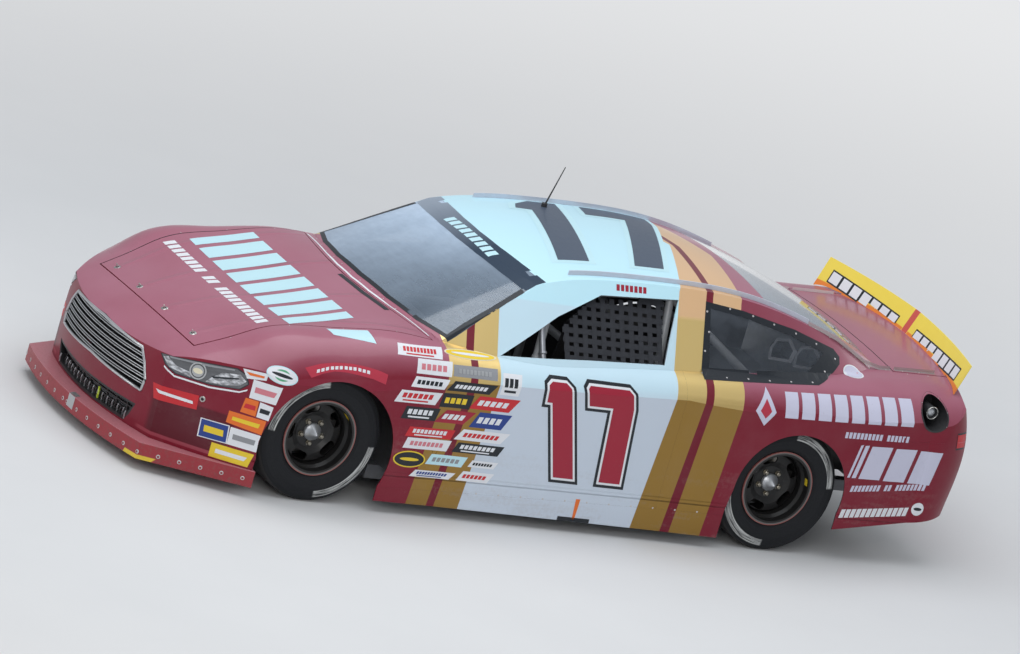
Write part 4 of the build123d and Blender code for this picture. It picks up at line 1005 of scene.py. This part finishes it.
# A place on the lamp: 0 to 1 from nose to arch, 0 to 1 from its lower to its upper edge
def lampAt(along, rise):
    x = 521 + 351 * along
    ends = []
    for line in (lampLow, lampTop):
        for (x0, a0, z0), (x1, a1, z1) in zip(line, line[1:]):
            if x0 <= x <= x1:
                share = (x - x0) / (x1 - x0)
                ends.append((a0 + (a1 - a0) * share, z0 + (z1 - z0) * share))
                break
    (lowAft, lowZ), (topAft, topZ) = ends[0], ends[-1]
    return spot(x, lowAft + (topAft - lowAft) * rise, lowZ + (topZ - lowZ) * rise)


def lampPatch(pairs, ink, lift):
    sticker([lampAt(along, rise) for along, rise in pairs], lampWay, ink, lift, mirror=True)


sticker(lampPlaces, lampWay, "inkBlack", 0.6, mirror=True)
sticker(shrunk(lampPlaces, 0.970, 0.92), lampWay, "lamp", 1.1, mirror=True)
# The two pale patches on each lamp are painted reflections
lampPatch(
    [(0.07, 0.5), (0.22, 0.12), (0.46, 0.10), (0.50, 0.30), (0.30, 0.46), (0.14, 0.86)], "lampPale",
    1.7,
)
lampPatch(
    [(0.62, 0.10), (0.80, 0.10), (0.93, 0.26), (0.97, 0.60), (0.90, 0.80), (0.74, 0.66), (0.66, 0.34)],
    "lampPale", 1.7,
)
lampPatch(
    [(0.16, 0.94), (0.60, 0.93), (0.84, 0.93), (0.84, 0.86), (0.60, 0.83), (0.18, 0.82)], "inkGrey",
    2.0,
)
lampPatch([(0.66, 0.42), (0.90, 0.60), (0.90, 0.52), (0.68, 0.34)], "inkBlack", 2.2)
lensLayers = (
    ("inkSilver", 45, 45, 2.0), ("lamp", 38, 38, 2.5), ("inkLamp", 31, 31, 3.0),
    ("inkCream", 26, 14, 3.4),
)
for ink, wide, tall, lift in lensLayers:
    ovalSticker(lampAt(0.52, 0.50), lampWay, wide, tall, ink, lift)
lowEdge = [(571, -820, 541), (630, -781, 512), (757, -636, 516), (851, -512, 540), (872, -482, 562)]
highEdge = [(x, aft, z - 9) for x, aft, z in lowEdge]
sticker([spot(*p) for p in lowEdge + highEdge[::-1]], lampWay, "inkWhite", 1.2, mirror=True)
# Tail lamps are printed sheets that run round the corner, with plain bars between them
tailLayers = (
    ("inkBlack", 0, 676, 792, 0.8), ("inkRed", 9, 686, 782, 1.5), ("inkPink", 26, 716, 740, 2.2),
)
for ink, out, low, high, lift in tailLayers:
    lampBack = [(470 + out, low), (780 - out * 0.4, low), (800 - out * 0.4, high), (500 + out, high)]
    sticker([spot(x, 3950, z) for x, z in lampBack], (0, 1, 0), ink, lift, mirror=True)
    lampSide = [
        (3790 + out * 0.4, low + 8), (3880, low + 8), (3880, high - 14), (3776 + out * 0.4, high - 14),
    ]
    sticker([spot(930, aft, z) for aft, z in lampSide], (0.9, 0.43, 0), ink, lift, mirror=True)
barRow(
    spot(-330, 3950, 560), spot(330, 3950, 560), 84, 9, "inkWhite", (0, 1, 0), mirror=False, fill=0.78,
)
for ink, half, low, high, lift in (("inkGrey", 150, 330, 430, 0.8), ("inkBlack", 138, 342, 418, 1.5)):
    plate = ((-half, low), (half, low), (half, high), (-half, high))
    sticker([spot(x, 3950, z) for x, z in plate], (0, 1, 0), ink, lift)

# Windshield: dark band at the top, narrow dark border
bandUpper = [(622, 1186), (420, 1158), (210, 1136), (0, 1128), (-210, 1136), (-420, 1158), (-622, 1186)]
bandLower = [(-650, 1066), (-430, 1034), (-215, 1014), (0, 1006), (215, 1014), (430, 1034), (650, 1066)]
glassWay = (0, -0.46, 0.88)


def glassSpot(x, aft):
    return spot(x, aft, 950 + (aft - 467) * 0.516)


def bandFinish():
    f = Finish("windshieldBand")
    cloud = f.noise(3.0, 4, 0.6)
    # Painted reflection: the dark band turns pale grey-blue towards the car's right side
    far = ((0.10 - f.x) * 1.1 + cloud * 0.2).clamped()
    color = f.blend(far, (0.026, 0.045, 0.075), (0.30, 0.35, 0.42))
    return f.wear(color=color, rough=0.46, coat=0.05, specular=0.2, normal=f.bump(cloud, 0.0002, 0.4))


finishes["band"] = bandFinish()
sticker([glassSpot(x, a) for x, a in bandUpper + bandLower], glassWay, "band", 0.8, tree=glassTree)
barRow(
    glassSpot(-250, 1046), glassSpot(300, 1046), 60, 9, "inkSky", glassWay, lean=0.1, mirror=False,
    lift=1.4, tree=glassTree,
)
borderOuter = [(768, 598), (735, 720), (700, 880), (655, 1060)]
borderInner = [(620, 1060), (668, 880), (704, 720), (738, 612)]
sticker(
    [glassSpot(x, a) for x, a in borderOuter + borderInner], glassWay, "inkBlack", 0.9, tree=glassTree,
    mirror=True,
)
baseOuter = [(760, 600), (560, 540), (300, 503), (0, 490), (-300, 503), (-560, 540), (-760, 600)]
baseInner = [(-748, 618), (-555, 562), (-300, 526), (0, 514), (300, 526), (555, 562), (748, 618)]
sticker([glassSpot(x, a) for x, a in baseOuter + baseInner], glassWay, "inkBlack", 0.9, tree=glassTree)

# Dark frames round the rear side windows
quarterLine = [(2211, 927), (2223, 1231), (2440, 1205), (2760, 1135), (3018, 1052), (2872, 949)]
frameOut = [(2176, 898), (2206, 1246), (2444, 1219), (2790, 1148), (3066, 1064), (2896, 926)]
frameIn = grown(quarterLine, -14)
for i in range(6):
    j = (i + 1) % 6
    sideSticker([frameOut[i], frameOut[j], frameIn[j], frameIn[i]], "inkBlack", 0.9)
sideSticker([(3064, 1065), (3104, 1030), (3098, 1000), (3040, 962), (2894, 925)], "inkBlack", 0.9)
print("glass borders laid on")


finishes["washer"] = plainFinish("paleWasher", (0.62, 0.60, 0.60), 0.35, 0.3, (0.46, 0.44, 0.44), 90)


# The faces between closed rings of points, each ring with as many points
def ringFaces(count, rings):
    faces = []
    for ring in range(rings - 1):
        for k in range(count):
            a, b = ring * count + k, ring * count + (k + 1) % count
            faces.append([a, b, b + count, a + count])
    return faces


# Rivets and washers: small turned shapes on the panels
def dome(point, normal, radius, height, hole=0.0):
    sides, rings = 8, 2
    outward, across, upward = axesOf(normal)
    verts = []
    for ring in range(rings + 1):
        angle = (pi / 2) * ring / rings
        r = radius * cos(angle) + hole
        h = height * sin(angle)
        for k in range(sides):
            a = 2 * pi * k / sides
            verts.append(point + outward * h + across * (r * cos(a)) + upward * (r * sin(a)))
    faces = ringFaces(sides, rings + 1)
    if not hole:
        faces.append([rings * sides + k for k in range(sides)])
    return verts, faces


def rivet(
    place, way, finishName, radius=6.0, height=3.0, body="chassis", tree=None, mirror=True, hole=0.0,
):
    outward = Vector(way).normalized()
    hit, normal, index, far = (tree or skin).ray_cast(place + outward * 2.5, -outward, 5)
    if hit is None:
        return
    verts, faces = dome(hit - normal * 0.0005, normal, radius / 1000, height / 1000, hole=hole / 1000)
    gather(body, finishName, verts, faces)
    if mirror:
        gather(body, finishName, [Vector((-v.x, v.y, v.z)) for v in verts], [f[::-1] for f in faces])


def spaced(points, gap):
    places, carry = [], gap * 0.5
    for a, b in zip(points, points[1:]):
        length = (b - a).length
        while carry <= length:
            places.append(a + (b - a) * (carry / length))
            carry += gap
        carry -= length
    return places


frameRivets = (
    (2214, 1200), (2226, 1107), (2201, 1018), (2183, 918), (2322, 914), (2457, 919),
    (2590, 922), (2727, 927), (2866, 933), (2985, 968), (3069, 1022), (2941, 1086),
    (2799, 1130), (2650, 1166), (2510, 1198), (2360, 1222),
)
for aft, z in frameRivets:
    rivet(spot(800, aft, z), (1, 0, 0), "washer", 7.5, 3.0)
for place in spaced([spot(950, 905, 158), spot(950, 2410, 196)], 0.134):
    rivet(place, (1, 0, 0), "washer", 6.0, 2.2)
lipLine = (
    (957, -352, 102), (820, -634, 98), (688, -905, 98), (480, -956, 98), (240, -993, 98),
    (0, -1005, 98),
)
for place in spaced([spot(*p) for p in lipLine], 0.112):
    way = (0.9, -0.44, 0) if place.x > 0.69 else (0.15, -1, 0)
    rivet(place, way, "washer", 5.5, 2.5, tree=lipTree, hole=6.5)
rivet(spot(748, -651, 440), cornerWay, "zinc", 8, 4, hole=9)
rivet(spot(748, -651, 440), cornerWay, "inkBlack", 9, 1.5)
for x, aft in ((466, -650), (153, -665)):
    for inkName, radius, height in (("zinc", 21, 3), ("black", 12, 5), ("zinc", 5, 24)):
        rivet(spot(x, aft, 700), (0, -0.4, 0.9), inkName, radius, height, body="hood")
    rivet(spot(x + 16, aft + 10, 700), (0, -0.4, 0.9), "zinc", 7, 7, body="hood")
topRows = (
    (((590, -655, 700), (700, 0, 850), (752, 520, 905)), 0.30, 4, 1.6),
    (((0, 470, 940), (380, 505, 935), (700, 592, 915)), 0.12, 4, 1.6),
    (((618, 3496, 975), (618, 3760, 975)), 0.13, 5, 2),
)
for line, gap, radius, height in topRows:
    for place in spaced([spot(*p) for p in line], gap):
        rivet(place, (0, 0, 1), "zinc", radius, height)
print("rivets placed")


# Rods and ribbons along a line
def rod(points, radius, sides=6, closed=False):
    verts, faces = [], []
    count = len(points)
    for i, point in enumerate(points):
        before = points[i - 1] if closed or i else point
        after = points[(i + 1) % count] if closed or i < count - 1 else point
        along = (after - before).normalized()
        across = along.cross(Vector((0, 0, 1)))
        across = across.normalized() if across.length > 0.05 else Vector((1, 0, 0))
        upward = across.cross(along)
        for k in range(sides):
            a = 2 * pi * k / sides + pi / sides
            verts.append(point + across * (radius * cos(a)) + upward * (radius * sin(a)))
    last = count if closed else count - 1
    for i in range(last):
        for k in range(sides):
            a, b = i * sides + k, i * sides + (k + 1) % sides
            c, d = ((i + 1) % count) * sides + (k + 1) % sides, ((i + 1) % count) * sides + k
            faces.append([a, b, c, d])
    if not closed:
        faces.append(list(range(sides))[::-1])
        faces.append([(count - 1) * sides + k for k in range(sides)])
    return verts, faces


grilleSet = {"bars": 6, "first": 389, "pitch": 33, "rod": 0.0030, "apart": 13, "bezel": 0.0078}
grilleLine = [(0, 590), (399, 572), (452, 505), (490, 425), (480, 351), (0, 372)]
ahead = (0, -1, 0)


def widthAt(outline, z):
    best = 0
    for (x0, z0), (x1, z1) in zip(outline, outline[1:]):
        if min(z0, z1) <= z <= max(z0, z1) and z0 != z1:
            best = max(best, x0 + (x1 - x0) * (z - z0) / (z1 - z0))
    return best


for row in range(grilleSet["bars"]):
    level = grilleSet["first"] + row * grilleSet["pitch"]
    half = widthAt(grilleLine, level + 5) - 9
    line = []
    for i in range(29):
        x = half * (-1 + 2 * i / 28)
        found = land(spot(x, 0, level + 4.5), Vector(ahead), grilleTree)
        if found is not None and found.y < axleY - 0.80:
            line.append(found)
    for shift in (-2, grilleSet["apart"] - 2):
        moved = [p + Vector((0, -0.001, shift / 1000)) for p in line]
        gather("chassis", "chrome", *rod(moved, grilleSet["rod"]))
bezel = []
loopLine = grilleLine + [(-x, z) for x, z in reversed(grilleLine) if x]
loopInner = grown(loopLine, -6)
for (x0, z0), (x1, z1) in zip(loopInner, loopInner[1:] + loopInner[:1]):
    for k in range(8):
        x, z = x0 + (x1 - x0) * k / 8, z0 + (z1 - z0) * k / 8
        found = land(spot(x, 0, z), Vector(ahead), grilleTree)
        if found is not None:
            bezel.append(found + Vector((0, -0.002, 0)))
gather("chassis", "chrome", *rod(bezel, grilleSet["bezel"], 8, closed=True))
lowTree = treeOf("lower_grille")
for i in range(35):
    x = -425 + i * 25
    foot = land(spot(x, 0, 181), Vector(ahead), lowTree)
    if foot is None:
        continue
    rise = 34 if i % 2 else 30
    line = [
        foot + Vector(p)
        for p in ((0, -0.002, -0.012), (0, -0.004, 0.012), (0.004, -0.002, rise / 1000))
    ]
    gather("chassis", "sheet" if i % 2 else "black", *rod(line, 0.0045, 5))
tagPlace = land(spot(120, 0, 181), Vector(ahead), lowTree)
if tagPlace is not None:
    tagLine = [
        tagPlace + Vector(p)
        for p in ((0, -0.008, -0.02), (0.006, -0.014, 0.012), (-0.004, -0.010, 0.05))
    ]
    gather("chassis", "inkTag", *rod(tagLine, 0.006, 5))
print("grilles trimmed")

# Wheels: cone caps, nuts and tape marks
wheelSet = {
    "nutCircle": 0.0635, "nut": 0.0125, "nutHigh": 0.020, "cap": 0.048, "capLong": 0.066, "tape": 0.22,
    "tapeOut": 0.885, "tapeIn": 0.858, "track": 0.7685,
}
# How far out, and how wide there
capShape = ((0.0, 1.0), (0.20, 1.0), (0.24, 0.90), (0.62, 0.52), (0.92, 0.16), (1.0, 0.05))
nutShape = ((0.0, 1.28), (0.18, 1.28), (0.19, 1.0), (0.86, 1.0), (1.0, 0.72))
for corner in ("front_left", "front_right", "rear_left", "rear_right"):
    body = "wheel_" + corner
    hand = 1 if corner.endswith("left") else -1
    middleY = axleY if corner.startswith("front") else rearAxleY
    middle = Vector((hand * wheelSet["track"], middleY, hubHeight))
    out = Vector((hand, 0, 0))
    wheelTree = treeOf("wheel_" + corner)
    hit, normal, index, far = wheelTree.ray_cast(middle + out + Vector((0, 0.055, 0)), -out, 2)
    faceX = hit.x
    verts, sides = [], 20
    for share, size in capShape:
        for k in range(sides):
            a = 2 * pi * k / sides
            r = wheelSet["cap"] * size
            x = faceX + hand * share * wheelSet["capLong"]
            verts.append(Vector((x, middle.y + r * cos(a), middle.z + r * sin(a))))
    faces = ringFaces(sides, len(capShape)) + [[(len(capShape) - 1) * sides + k for k in range(sides)]]
    gather(body, "cap", verts, [face[::hand] for face in faces])
    for n in range(5):
        a = 2 * pi * (n + 0.5) / 5 + 0.3
        towards = Vector((0, cos(a), sin(a)))
        centre = Vector((faceX, middle.y, middle.z)) + towards * wheelSet["nutCircle"]
        verts = []
        for share, size in nutShape:
            for k in range(6):
                b = 2 * pi * k / 6
                r = wheelSet["nut"] * size
                x = hand * share * wheelSet["nutHigh"]
                verts.append(centre + Vector((x, r * cos(b), r * sin(b))))
        faces = ringFaces(6, len(nutShape)) + [[24 + k for k in range(6)]]
        gather(body, "nutSteel", verts, [face[::hand] for face in faces])
    start = 0.75 if corner.startswith("front") else 0.25
    for middleAngle in (start, start + pi * 1.03):
        verts, faces = [], []
        for k in range(7):
            a = middleAngle + wheelSet["tape"] * (k / 6 - 0.5)
            for x in (wheelSet["tapeOut"], wheelSet["tapeIn"]):
                towards = Vector((0, cos(a), sin(a)))
                barrel = wheelTree.ray_cast(Vector((hand * x, middle.y, middle.z)), towards, 0.3)[0]
                if barrel is not None:
                    verts.append(barrel - towards * 0.0012)
        if len(verts) == 14:
            for k in range(6):
                faces.append([2 * k, 2 * k + 2, 2 * k + 3, 2 * k + 1][::-hand])
            gather(body, "inkYellow", verts, faces)
finishes["cap"] = plainFinish("brushedCap", (0.66, 0.68, 0.71), 0.36, 0.75, (0.36, 0.38, 0.41), 9)
finishes["nutSteel"] = plainFinish("nutSteel", (0.34, 0.32, 0.27), 0.34, 1.0, (0.16, 0.14, 0.11), 90)
print("wheels trimmed")

# Spoiler: plain bars with a dark edge on each half
def bladeLevel(x):
    return 1052 - 0.034 * x * x / 1000


for hand in (1, -1):
    for ink, grow, lift in (("inkBlack", 9, 0.8), ("inkWhite", 0, 1.3)):
        low, high = (96, 724) if hand > 0 else (110, 742)
        count = 7
        for k in range(count):
            a = low + (high - low) * k / count
            b = a + (high - low) / count * 0.80
            half = 33 + grow
            corners = [
                (a - grow, bladeLevel(a) - half), (b + grow, bladeLevel(b) - half),
                (b + grow, bladeLevel(b) + half), (a - grow, bladeLevel(a) + half),
            ]
            places = [spot(hand * x, 3800, z) for x, z in corners]
            sticker(places, (0, -0.92, 0.36), ink, lift, body="deck_lid", tree=bladeTree)

# Clear strips that stand along the rear window and the deck, with riveted feet
stripSet = {"high": 0.017, "foot": 0.018}
stripLines = (
    (
        "chassis",
        [(563, 2900), (563, 3000), (566, 3100), (572, 3200), (580, 3300), (584, 3400), (582, 3468)],
    ),
    ("deck_lid", [(580, 3492), (578, 3600), (577, 3700), (576, 3752)]),
)


def standing(points, body, hand):
    starts = range(0, 2 * len(points) - 2, 2)
    verts = []
    for point in points:
        verts += [point, point + Vector((0, 0, stripSet["high"]))]
    gather(body, "clearStrip", verts, [[a, a + 2, a + 3, a + 1] for a in starts])
    verts = []
    for point in points:
        drop = -0.0005 - abs(point.x) * 0.004
        verts += [point + Vector((0, 0, 0.002)), point + Vector((hand * stripSet["foot"], 0, drop))]
    gather(body, "clearStrip", verts, [[a, a + 1, a + 3, a + 2][::hand] for a in starts])


finishes["clearStrip"] = glassFinish("clearStrip", (0.27, 0.24, 0.235), 0.62, 0.2, 0.4)
finishes["clearStrip"].use_backface_culling = False
for hand in (1, -1):
    for body, line in stripLines:
        points = []
        for x, aft in line:
            found = land(spot(hand * x, aft, 1000), Vector((0, 0, 1)), skin, 0.0004)
            if found is not None:
                points.append(found)
        standing(points, body, hand)
        for place in spaced(points, 0.105):
            rivet(
                place + Vector((hand * 0.010, 0, 0)), (0, 0, 1), "zinc", 4.2, 2.2, body=body,
                mirror=False,
            )

# Fuel filler: a dark cup let flush into the skin, the neck and the can end in it
fillerSet = {
    "aft": 3610, "level": 859, "flange": 0.087, "cup": 0.0785, "depth": 0.062, "neck": 0.034,
    "bore": 0.027,
}
turns = [2 * pi * k / 36 for k in range(36)]
fillerMiddle = spot(0, fillerSet["aft"], fillerSet["level"])
rim = []
for a in turns:
    place = fillerMiddle + Vector((0.9, fillerSet["flange"] * cos(a), fillerSet["flange"] * sin(a)))
    rim.append(land(place, Vector((1, 0, 0)), skin, 0.0012))
rim = [p for p in rim if p is not None]
deepX = min(p.x for p in rim) - fillerSet["depth"]
mouthX = sum(p.x for p in rim) / len(rim)


def fillerRing(radius, x=None):
    if x is None:
        share = radius / fillerSet["flange"]
        flat = [(p - fillerMiddle) * share + fillerMiddle for p in rim]
        return [Vector((p.x, q.y, q.z)) for p, q in zip(rim, flat)]
    middle = Vector((x, fillerMiddle.y, fillerMiddle.z))
    return [middle + Vector((0, radius * cos(a), radius * sin(a))) for a in turns[:len(rim)]]


neckX = mouthX - 0.012
cupRings = [
    fillerRing(fillerSet["flange"]), fillerRing(fillerSet["cup"]), fillerRing(fillerSet["cup"], deepX),
    fillerRing(fillerSet["neck"], deepX), fillerRing(fillerSet["neck"], neckX),
    fillerRing(fillerSet["bore"] + 0.002, neckX + 0.001),
    fillerRing(fillerSet["bore"], neckX - 0.003), fillerRing(fillerSet["bore"], neckX - 0.016),
]
cupVerts = [p for ring in cupRings for p in ring]
fillerCup = pieceOf(
    "fillerCup", cupVerts, ringFaces(len(rim), len(cupRings)), finishes["black"], "chassis",
)
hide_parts("fuel_filler")
canShape = ((0.0265, 0.0), (0.022, 0.005), (0.015, 0.0085), (0.007, 0.010), (0.0015, 0.0102))
canRings = [fillerRing(r, neckX - 0.015 + h) for r, h in canShape]
gather("chassis", "cap", [p for ring in canRings for p in ring], ringFaces(len(rim), len(canRings)))
gather(
    "chassis", "zinc",
    *rod(fillerRing(fillerSet["neck"] - 0.001, neckX + 0.001), 0.0026, 6, closed=True),
)
for k in range(8):
    a = 2 * pi * k / 8 + 0.2
    rivet(
        fillerMiddle + Vector((0.9, 0.0835 * cos(a), 0.0835 * sin(a))), (1, 0, 0), "zinc", 3.2, 1.8,
        mirror=False,
    )

# Tape patch folded over the front lip
tapeFront = [spot(x, -1000, z) for x, z in ((28, 82), (96, 80), (98, 149), (30, 150))]
tapeTop = [spot(x, aft, 150) for x, aft in ((24, -1002), (92, -1000), (76, -962), (10, -964))]
for places, way in ((tapeFront, ahead), (tapeTop, (0, 0, 1))):
    sticker(places, way, "inkSilver", 0.8, tree=lipTree)

# Hood edge: a pale line along the cowl and, behind it, a black sheet of painted shade standing for a
# slot
edgeLine = [
    (760, 548), (600, 520), (400, 484), (200, 456), (0, 446), (-200, 456), (-400, 484), (-600, 520),
    (-760, 548),
]
cowlOuter = [(x, aft + 17) for x, aft in edgeLine]
cowlInner = [(x, aft + 8) for x, aft in reversed(edgeLine)]
sticker([spot(x * 0.96, aft, 940) for x, aft in cowlOuter + cowlInner], (0, -0.1, 1), "inkWhite", 0.9)
slotLine = [(440, 478), (200, 448), (-60, 440)]
slotBack = [(-60, 412), (200, 418), (440, 446)]
sticker(
    [spot(x, aft - 8, 940) for x, aft in slotLine + slotBack], (0, -0.1, 1), "inkBlack", 0.9,
    body="hood",
)
print("trim placed")


# The webbing net in the driver's window
netSet = {
    "start": 15, "across": 57, "up": 50, "strap": 30, "weave": 0.0012, "tilt": 35, "clear": 0.0021,
}
netOutline = [(0, 0), (590, 26), (620, 372), (180, 352), (-10, 170)]
netAlong = Vector((0, 1, 0))
netOut = Vector((cos(radians(netSet["tilt"])), 0, sin(radians(netSet["tilt"]))))
netUp = netOut.cross(netAlong)
netBase = spot(823, 1345, 900) + netOut * netSet["clear"]


def spanAt(outline, axis, value):
    hits = []
    for a, b in zip(outline, outline[1:] + outline[:1]):
        if (a[axis] - value) * (b[axis] - value) <= 0 and a[axis] != b[axis]:
            t = (value - a[axis]) / (b[axis] - a[axis])
            hits.append(a[1 - axis] + (b[1 - axis] - a[1 - axis]) * t)
    return (min(hits), max(hits)) if len(hits) > 1 else None


netVerts, netFaces = [], []
for axis, pitch, phase in ((0, netSet["across"], 0), (1, netSet["up"], 1)):
    values = [netSet["start"] + pitch * k for k in range(12)]
    for n, value in enumerate(values):
        spanLow = spanAt(netOutline, axis, value)
        if spanLow is None:
            continue
        low, high = spanLow
        other = netSet["up"] if axis == 0 else netSet["across"]
        steps = max(4, int((high - low) / (other / 2)))
        for k in range(steps + 1):
            along = low + (high - low) * k / steps
            wave = cos(pi * (along - netSet["start"]) / other + pi * (n + phase)) * netSet["weave"]
            for edge in (-netSet["strap"] / 2, netSet["strap"] / 2):
                u, v = (value + edge, along) if axis == 0 else (along, value + edge)
                point = netBase + netAlong * (u / 1000) + netUp * (v / 1000) + netOut * wave
                netVerts.append(point)
            if k:
                a = len(netVerts) - 4
                face = [a, a + 1, a + 3, a + 2]
                netFaces.append(face if axis else face[::-1])
netFinish = Finish("netWebbing")
netWeave = netFinish.node("ShaderNodeTexChecker", {}, Vector=netFinish.place, Scale=420.0, out=1)
netDust = netFinish.noise(22, 5, 0.6)
netFinish.wear(
    color=netFinish.blend(netDust, (0.012, 0.013, 0.017), (0.030, 0.033, 0.042)), rough=0.82,
    normal=netFinish.bump(netWeave, 0.0006, 0.7),
)
net = pieceOf("netWebbing", netVerts, netFaces, netFinish.material, "chassis")
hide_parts("window_net")
print("window net woven")

# A plated bar stands in the front of the driver's window
barSet = {
    "foot": spot(772, 1248, 869), "top": spot(672, 1226, 1075), "radius": 0.0165, "collar": 0.022,
    "sides": 14,
}
barLine = [barSet["foot"] + (barSet["foot"] - barSet["top"]) * 0.12]
barLine += [barSet["foot"].lerp(barSet["top"], k / 4) for k in range(5)]
barLine.append(barLine[-1] + (barLine[-1] - barLine[1]) * 0.10)
gather("chassis", "barSteel", *rod(barLine, barSet["radius"], barSet["sides"]))
collar = barLine[1].lerp(barLine[-1], 0.12)
collarLine = [collar, collar.lerp(barLine[-1], 0.06)]
gather("chassis", "barSteel", *rod(collarLine, barSet["collar"], barSet["sides"]))
finishes["barSteel"] = plainFinish("platedBar", (0.42, 0.44, 0.48), 0.34, 0.6, (0.30, 0.31, 0.34), 40)

# Two cooling scoops behind each rear side window
ductSet = {
    "mouth": 0.060, "long": 0.16,
    "outline": ((-1, -0.75), (0.9, -0.85), (1.1, 0.0), (0.35, 0.85), (-0.75, 0.8), (-1.1, 0.1)),
}
for centre in (spot(640, 2739, 1033), spot(640, 2904, 1005)):
    for hand in (1, -1):
        rings = []
        for share, size in ((0.0, 1.30), (0.04, 0.98), (0.35, 0.86), (1.0, 0.58)):
            out = Vector((hand, -0.35, 0.25)).normalized()
            middle = Vector((hand * centre.x, centre.y, centre.z)) - out * (share * ductSet["long"])
            ring = []
            for u, v in ductSet["outline"]:
                ring.append(middle + Vector((0, u + 0.12, v)) * ductSet["mouth"] * size)
            rings.append(ring)
        verts = [p for ring in rings for p in ring]
        faces = ringFaces(6, 4)
        gather("chassis", "ductRim", verts[:12], faces[:6])
        gather("chassis", "ductInside", verts, faces[6:] + [[18 + k for k in range(6)]])
finishes["ductRim"] = plainFinish("ductRim", (0.15, 0.155, 0.17), 0.5, 0, (0.10, 0.10, 0.11), 30)
finishes["ductInside"] = plainFinish(
    "ductInside", (0.010, 0.010, 0.012), 0.7, 0, (0.02, 0.02, 0.022), 30,
)

# Instruments on the dash panel
gaugeSet = {"first": 290, "pitch": 74, "panel": 803, "level": 790, "ring": 0.031}
for k in range(5):
    x = gaugeSet["first"] + k * gaugeSet["pitch"]
    centre = spot(x, gaugeSet["panel"], gaugeSet["level"] - (k % 2) * 26)
    around = [2 * pi * i / 20 for i in range(20)]
    gaugeRing = [centre + Vector((cos(a), 0, sin(a))) * gaugeSet["ring"] for a in around]
    gather("chassis", "zinc", *rod(gaugeRing, 0.0035, 6, closed=True))
    gather("chassis", "inkBlack", gaugeRing, [list(range(20))])
    for tick in range(9):
        a = radians(-40 + tick * 32)
        inner, outer = gaugeSet["ring"] * 0.62, gaugeSet["ring"] * 0.85
        line = [centre + Vector((r * cos(a), 0.0012, r * sin(a))) for r in (inner, outer)]
        gather("chassis", "inkWhite", *rod(line, 0.0008, 4))
    a = radians(200 - k * 37)
    needle = [
        centre + Vector((r * cos(a), 0.0022, r * sin(a))) for r in (-0.004, gaugeSet["ring"] * 0.75)
    ]
    gather("chassis", "inkOrange", *rod(needle, 0.0012, 4))


# Seat pads: crowned forms with sewn channels, on the shell's floor and back
def clothFinish(name, color, second):
    f = Finish(name)
    weave = f.node(
        "ShaderNodeTexWave", {"wave_type": "BANDS", "bands_direction": "DIAGONAL"}, f.place, 900.0, 1.2,
        out=1,
    )
    cross = f.node(
        "ShaderNodeTexWave", {"wave_type": "BANDS", "bands_direction": "X"}, f.place, 1100.0, 0.6,
        out=1,
    )
    fuzz = f.noise(260, 4, 0.6)
    broad = f.noise(7, 4, 0.6)
    mixed = f.blend((weave * 0.4 + fuzz * 0.4 + broad * 0.3).atMost(1.0), color, second)
    height = weave * 0.5 + cross * 0.5 + fuzz * 0.3
    return f.wear(color=mixed, rough=0.88, sheen=0.25, normal=f.bump(height, 0.0006, 0.6))


finishes["seatCloth"] = clothFinish("seatCloth", (0.014, 0.014, 0.017), (0.045, 0.046, 0.052))


def pad(name, centre, along, up, half, thick, channels, fill):
    across = along.cross(up).normalized()
    nu, nv = 30, 34
    verts, faces = [], []
    for level in (1, 0):
        for i in range(nu + 1):
            for j in range(nv + 1):
                u, v = -1 + 2 * i / nu, -1 + 2 * j / nv
                edge = (max(0, 1 - abs(u) ** 5) * max(0, 1 - abs(v) ** 5)) ** 0.45
                pull = 1 - 0.030 * (1 - v * v)
                seam = min(abs(v - c) for c in channels) if channels else 1
                dip = 0.22 * max(0, 1 - seam / 0.075) ** 1.5
                crown = 0.72 + 0.28 * (1 - u * u) * (1 - v * v) - dip
                rise = thick * edge * (crown if level else -0.10)
                verts.append(centre + across * (u * half[0] * pull) + along * (v * half[1]) + up * rise)
    row = nv + 1
    size = (nu + 1) * row
    for i in range(nu):
        for j in range(nv):
            a = i * row + j
            faces.append([a, a + 1, a + row + 1, a + row])
            b = a + size
            faces.append([b, b + row, b + row + 1, b + 1])
    bm = bmesh.new()
    made = [bm.verts.new(v) for v in verts]
    for face in faces:
        bm.faces.new([made[k] for k in face])
    bmesh.ops.remove_doubles(bm, verts=bm.verts[:], dist=1e-5)
    bmesh.ops.recalc_face_normals(bm, faces=bm.faces[:])
    bm.verts.index_update()
    verts = [v.co.copy() for v in bm.verts]
    faces = [[v.index for v in face.verts] for face in bm.faces]
    bm.free()
    piece = pieceOf(name, verts, faces, finishes["seatCloth"], "chassis", True)


padSet = {"x": 380, "channels": (-0.6, -0.2, 0.2, 0.6), "fill": 0.7}
seatLean = Vector((0, 0.062, 0.56)).normalized()
seatPads = (
    (
        "seatCushion", spot(padSet["x"], 1520, 333), Vector((0, 1, 0)), Vector((0, 0, 1)),
        (0.180, 0.165), 0.055,
    ),
    (
        "seatBack", spot(padSet["x"], 1811, 700), seatLean, Vector((0, -seatLean.z, seatLean.y)),
        (0.180, 0.250), 0.050,
    ),
)
for name, centre, along, up, half, thick in seatPads:
    pad(name, centre, along, up, half, thick, padSet["channels"], padSet["fill"])
print("cabin fitted")


# Every gathered sheet becomes one piece
rounded = ("cap", "chrome", "barSteel")
for (body, finishName), (verts, faces) in gathered.items():
    name = finishName + "On_" + body
    pieceOf(name, verts, faces, finishes[finishName], body, finishName in rounded)
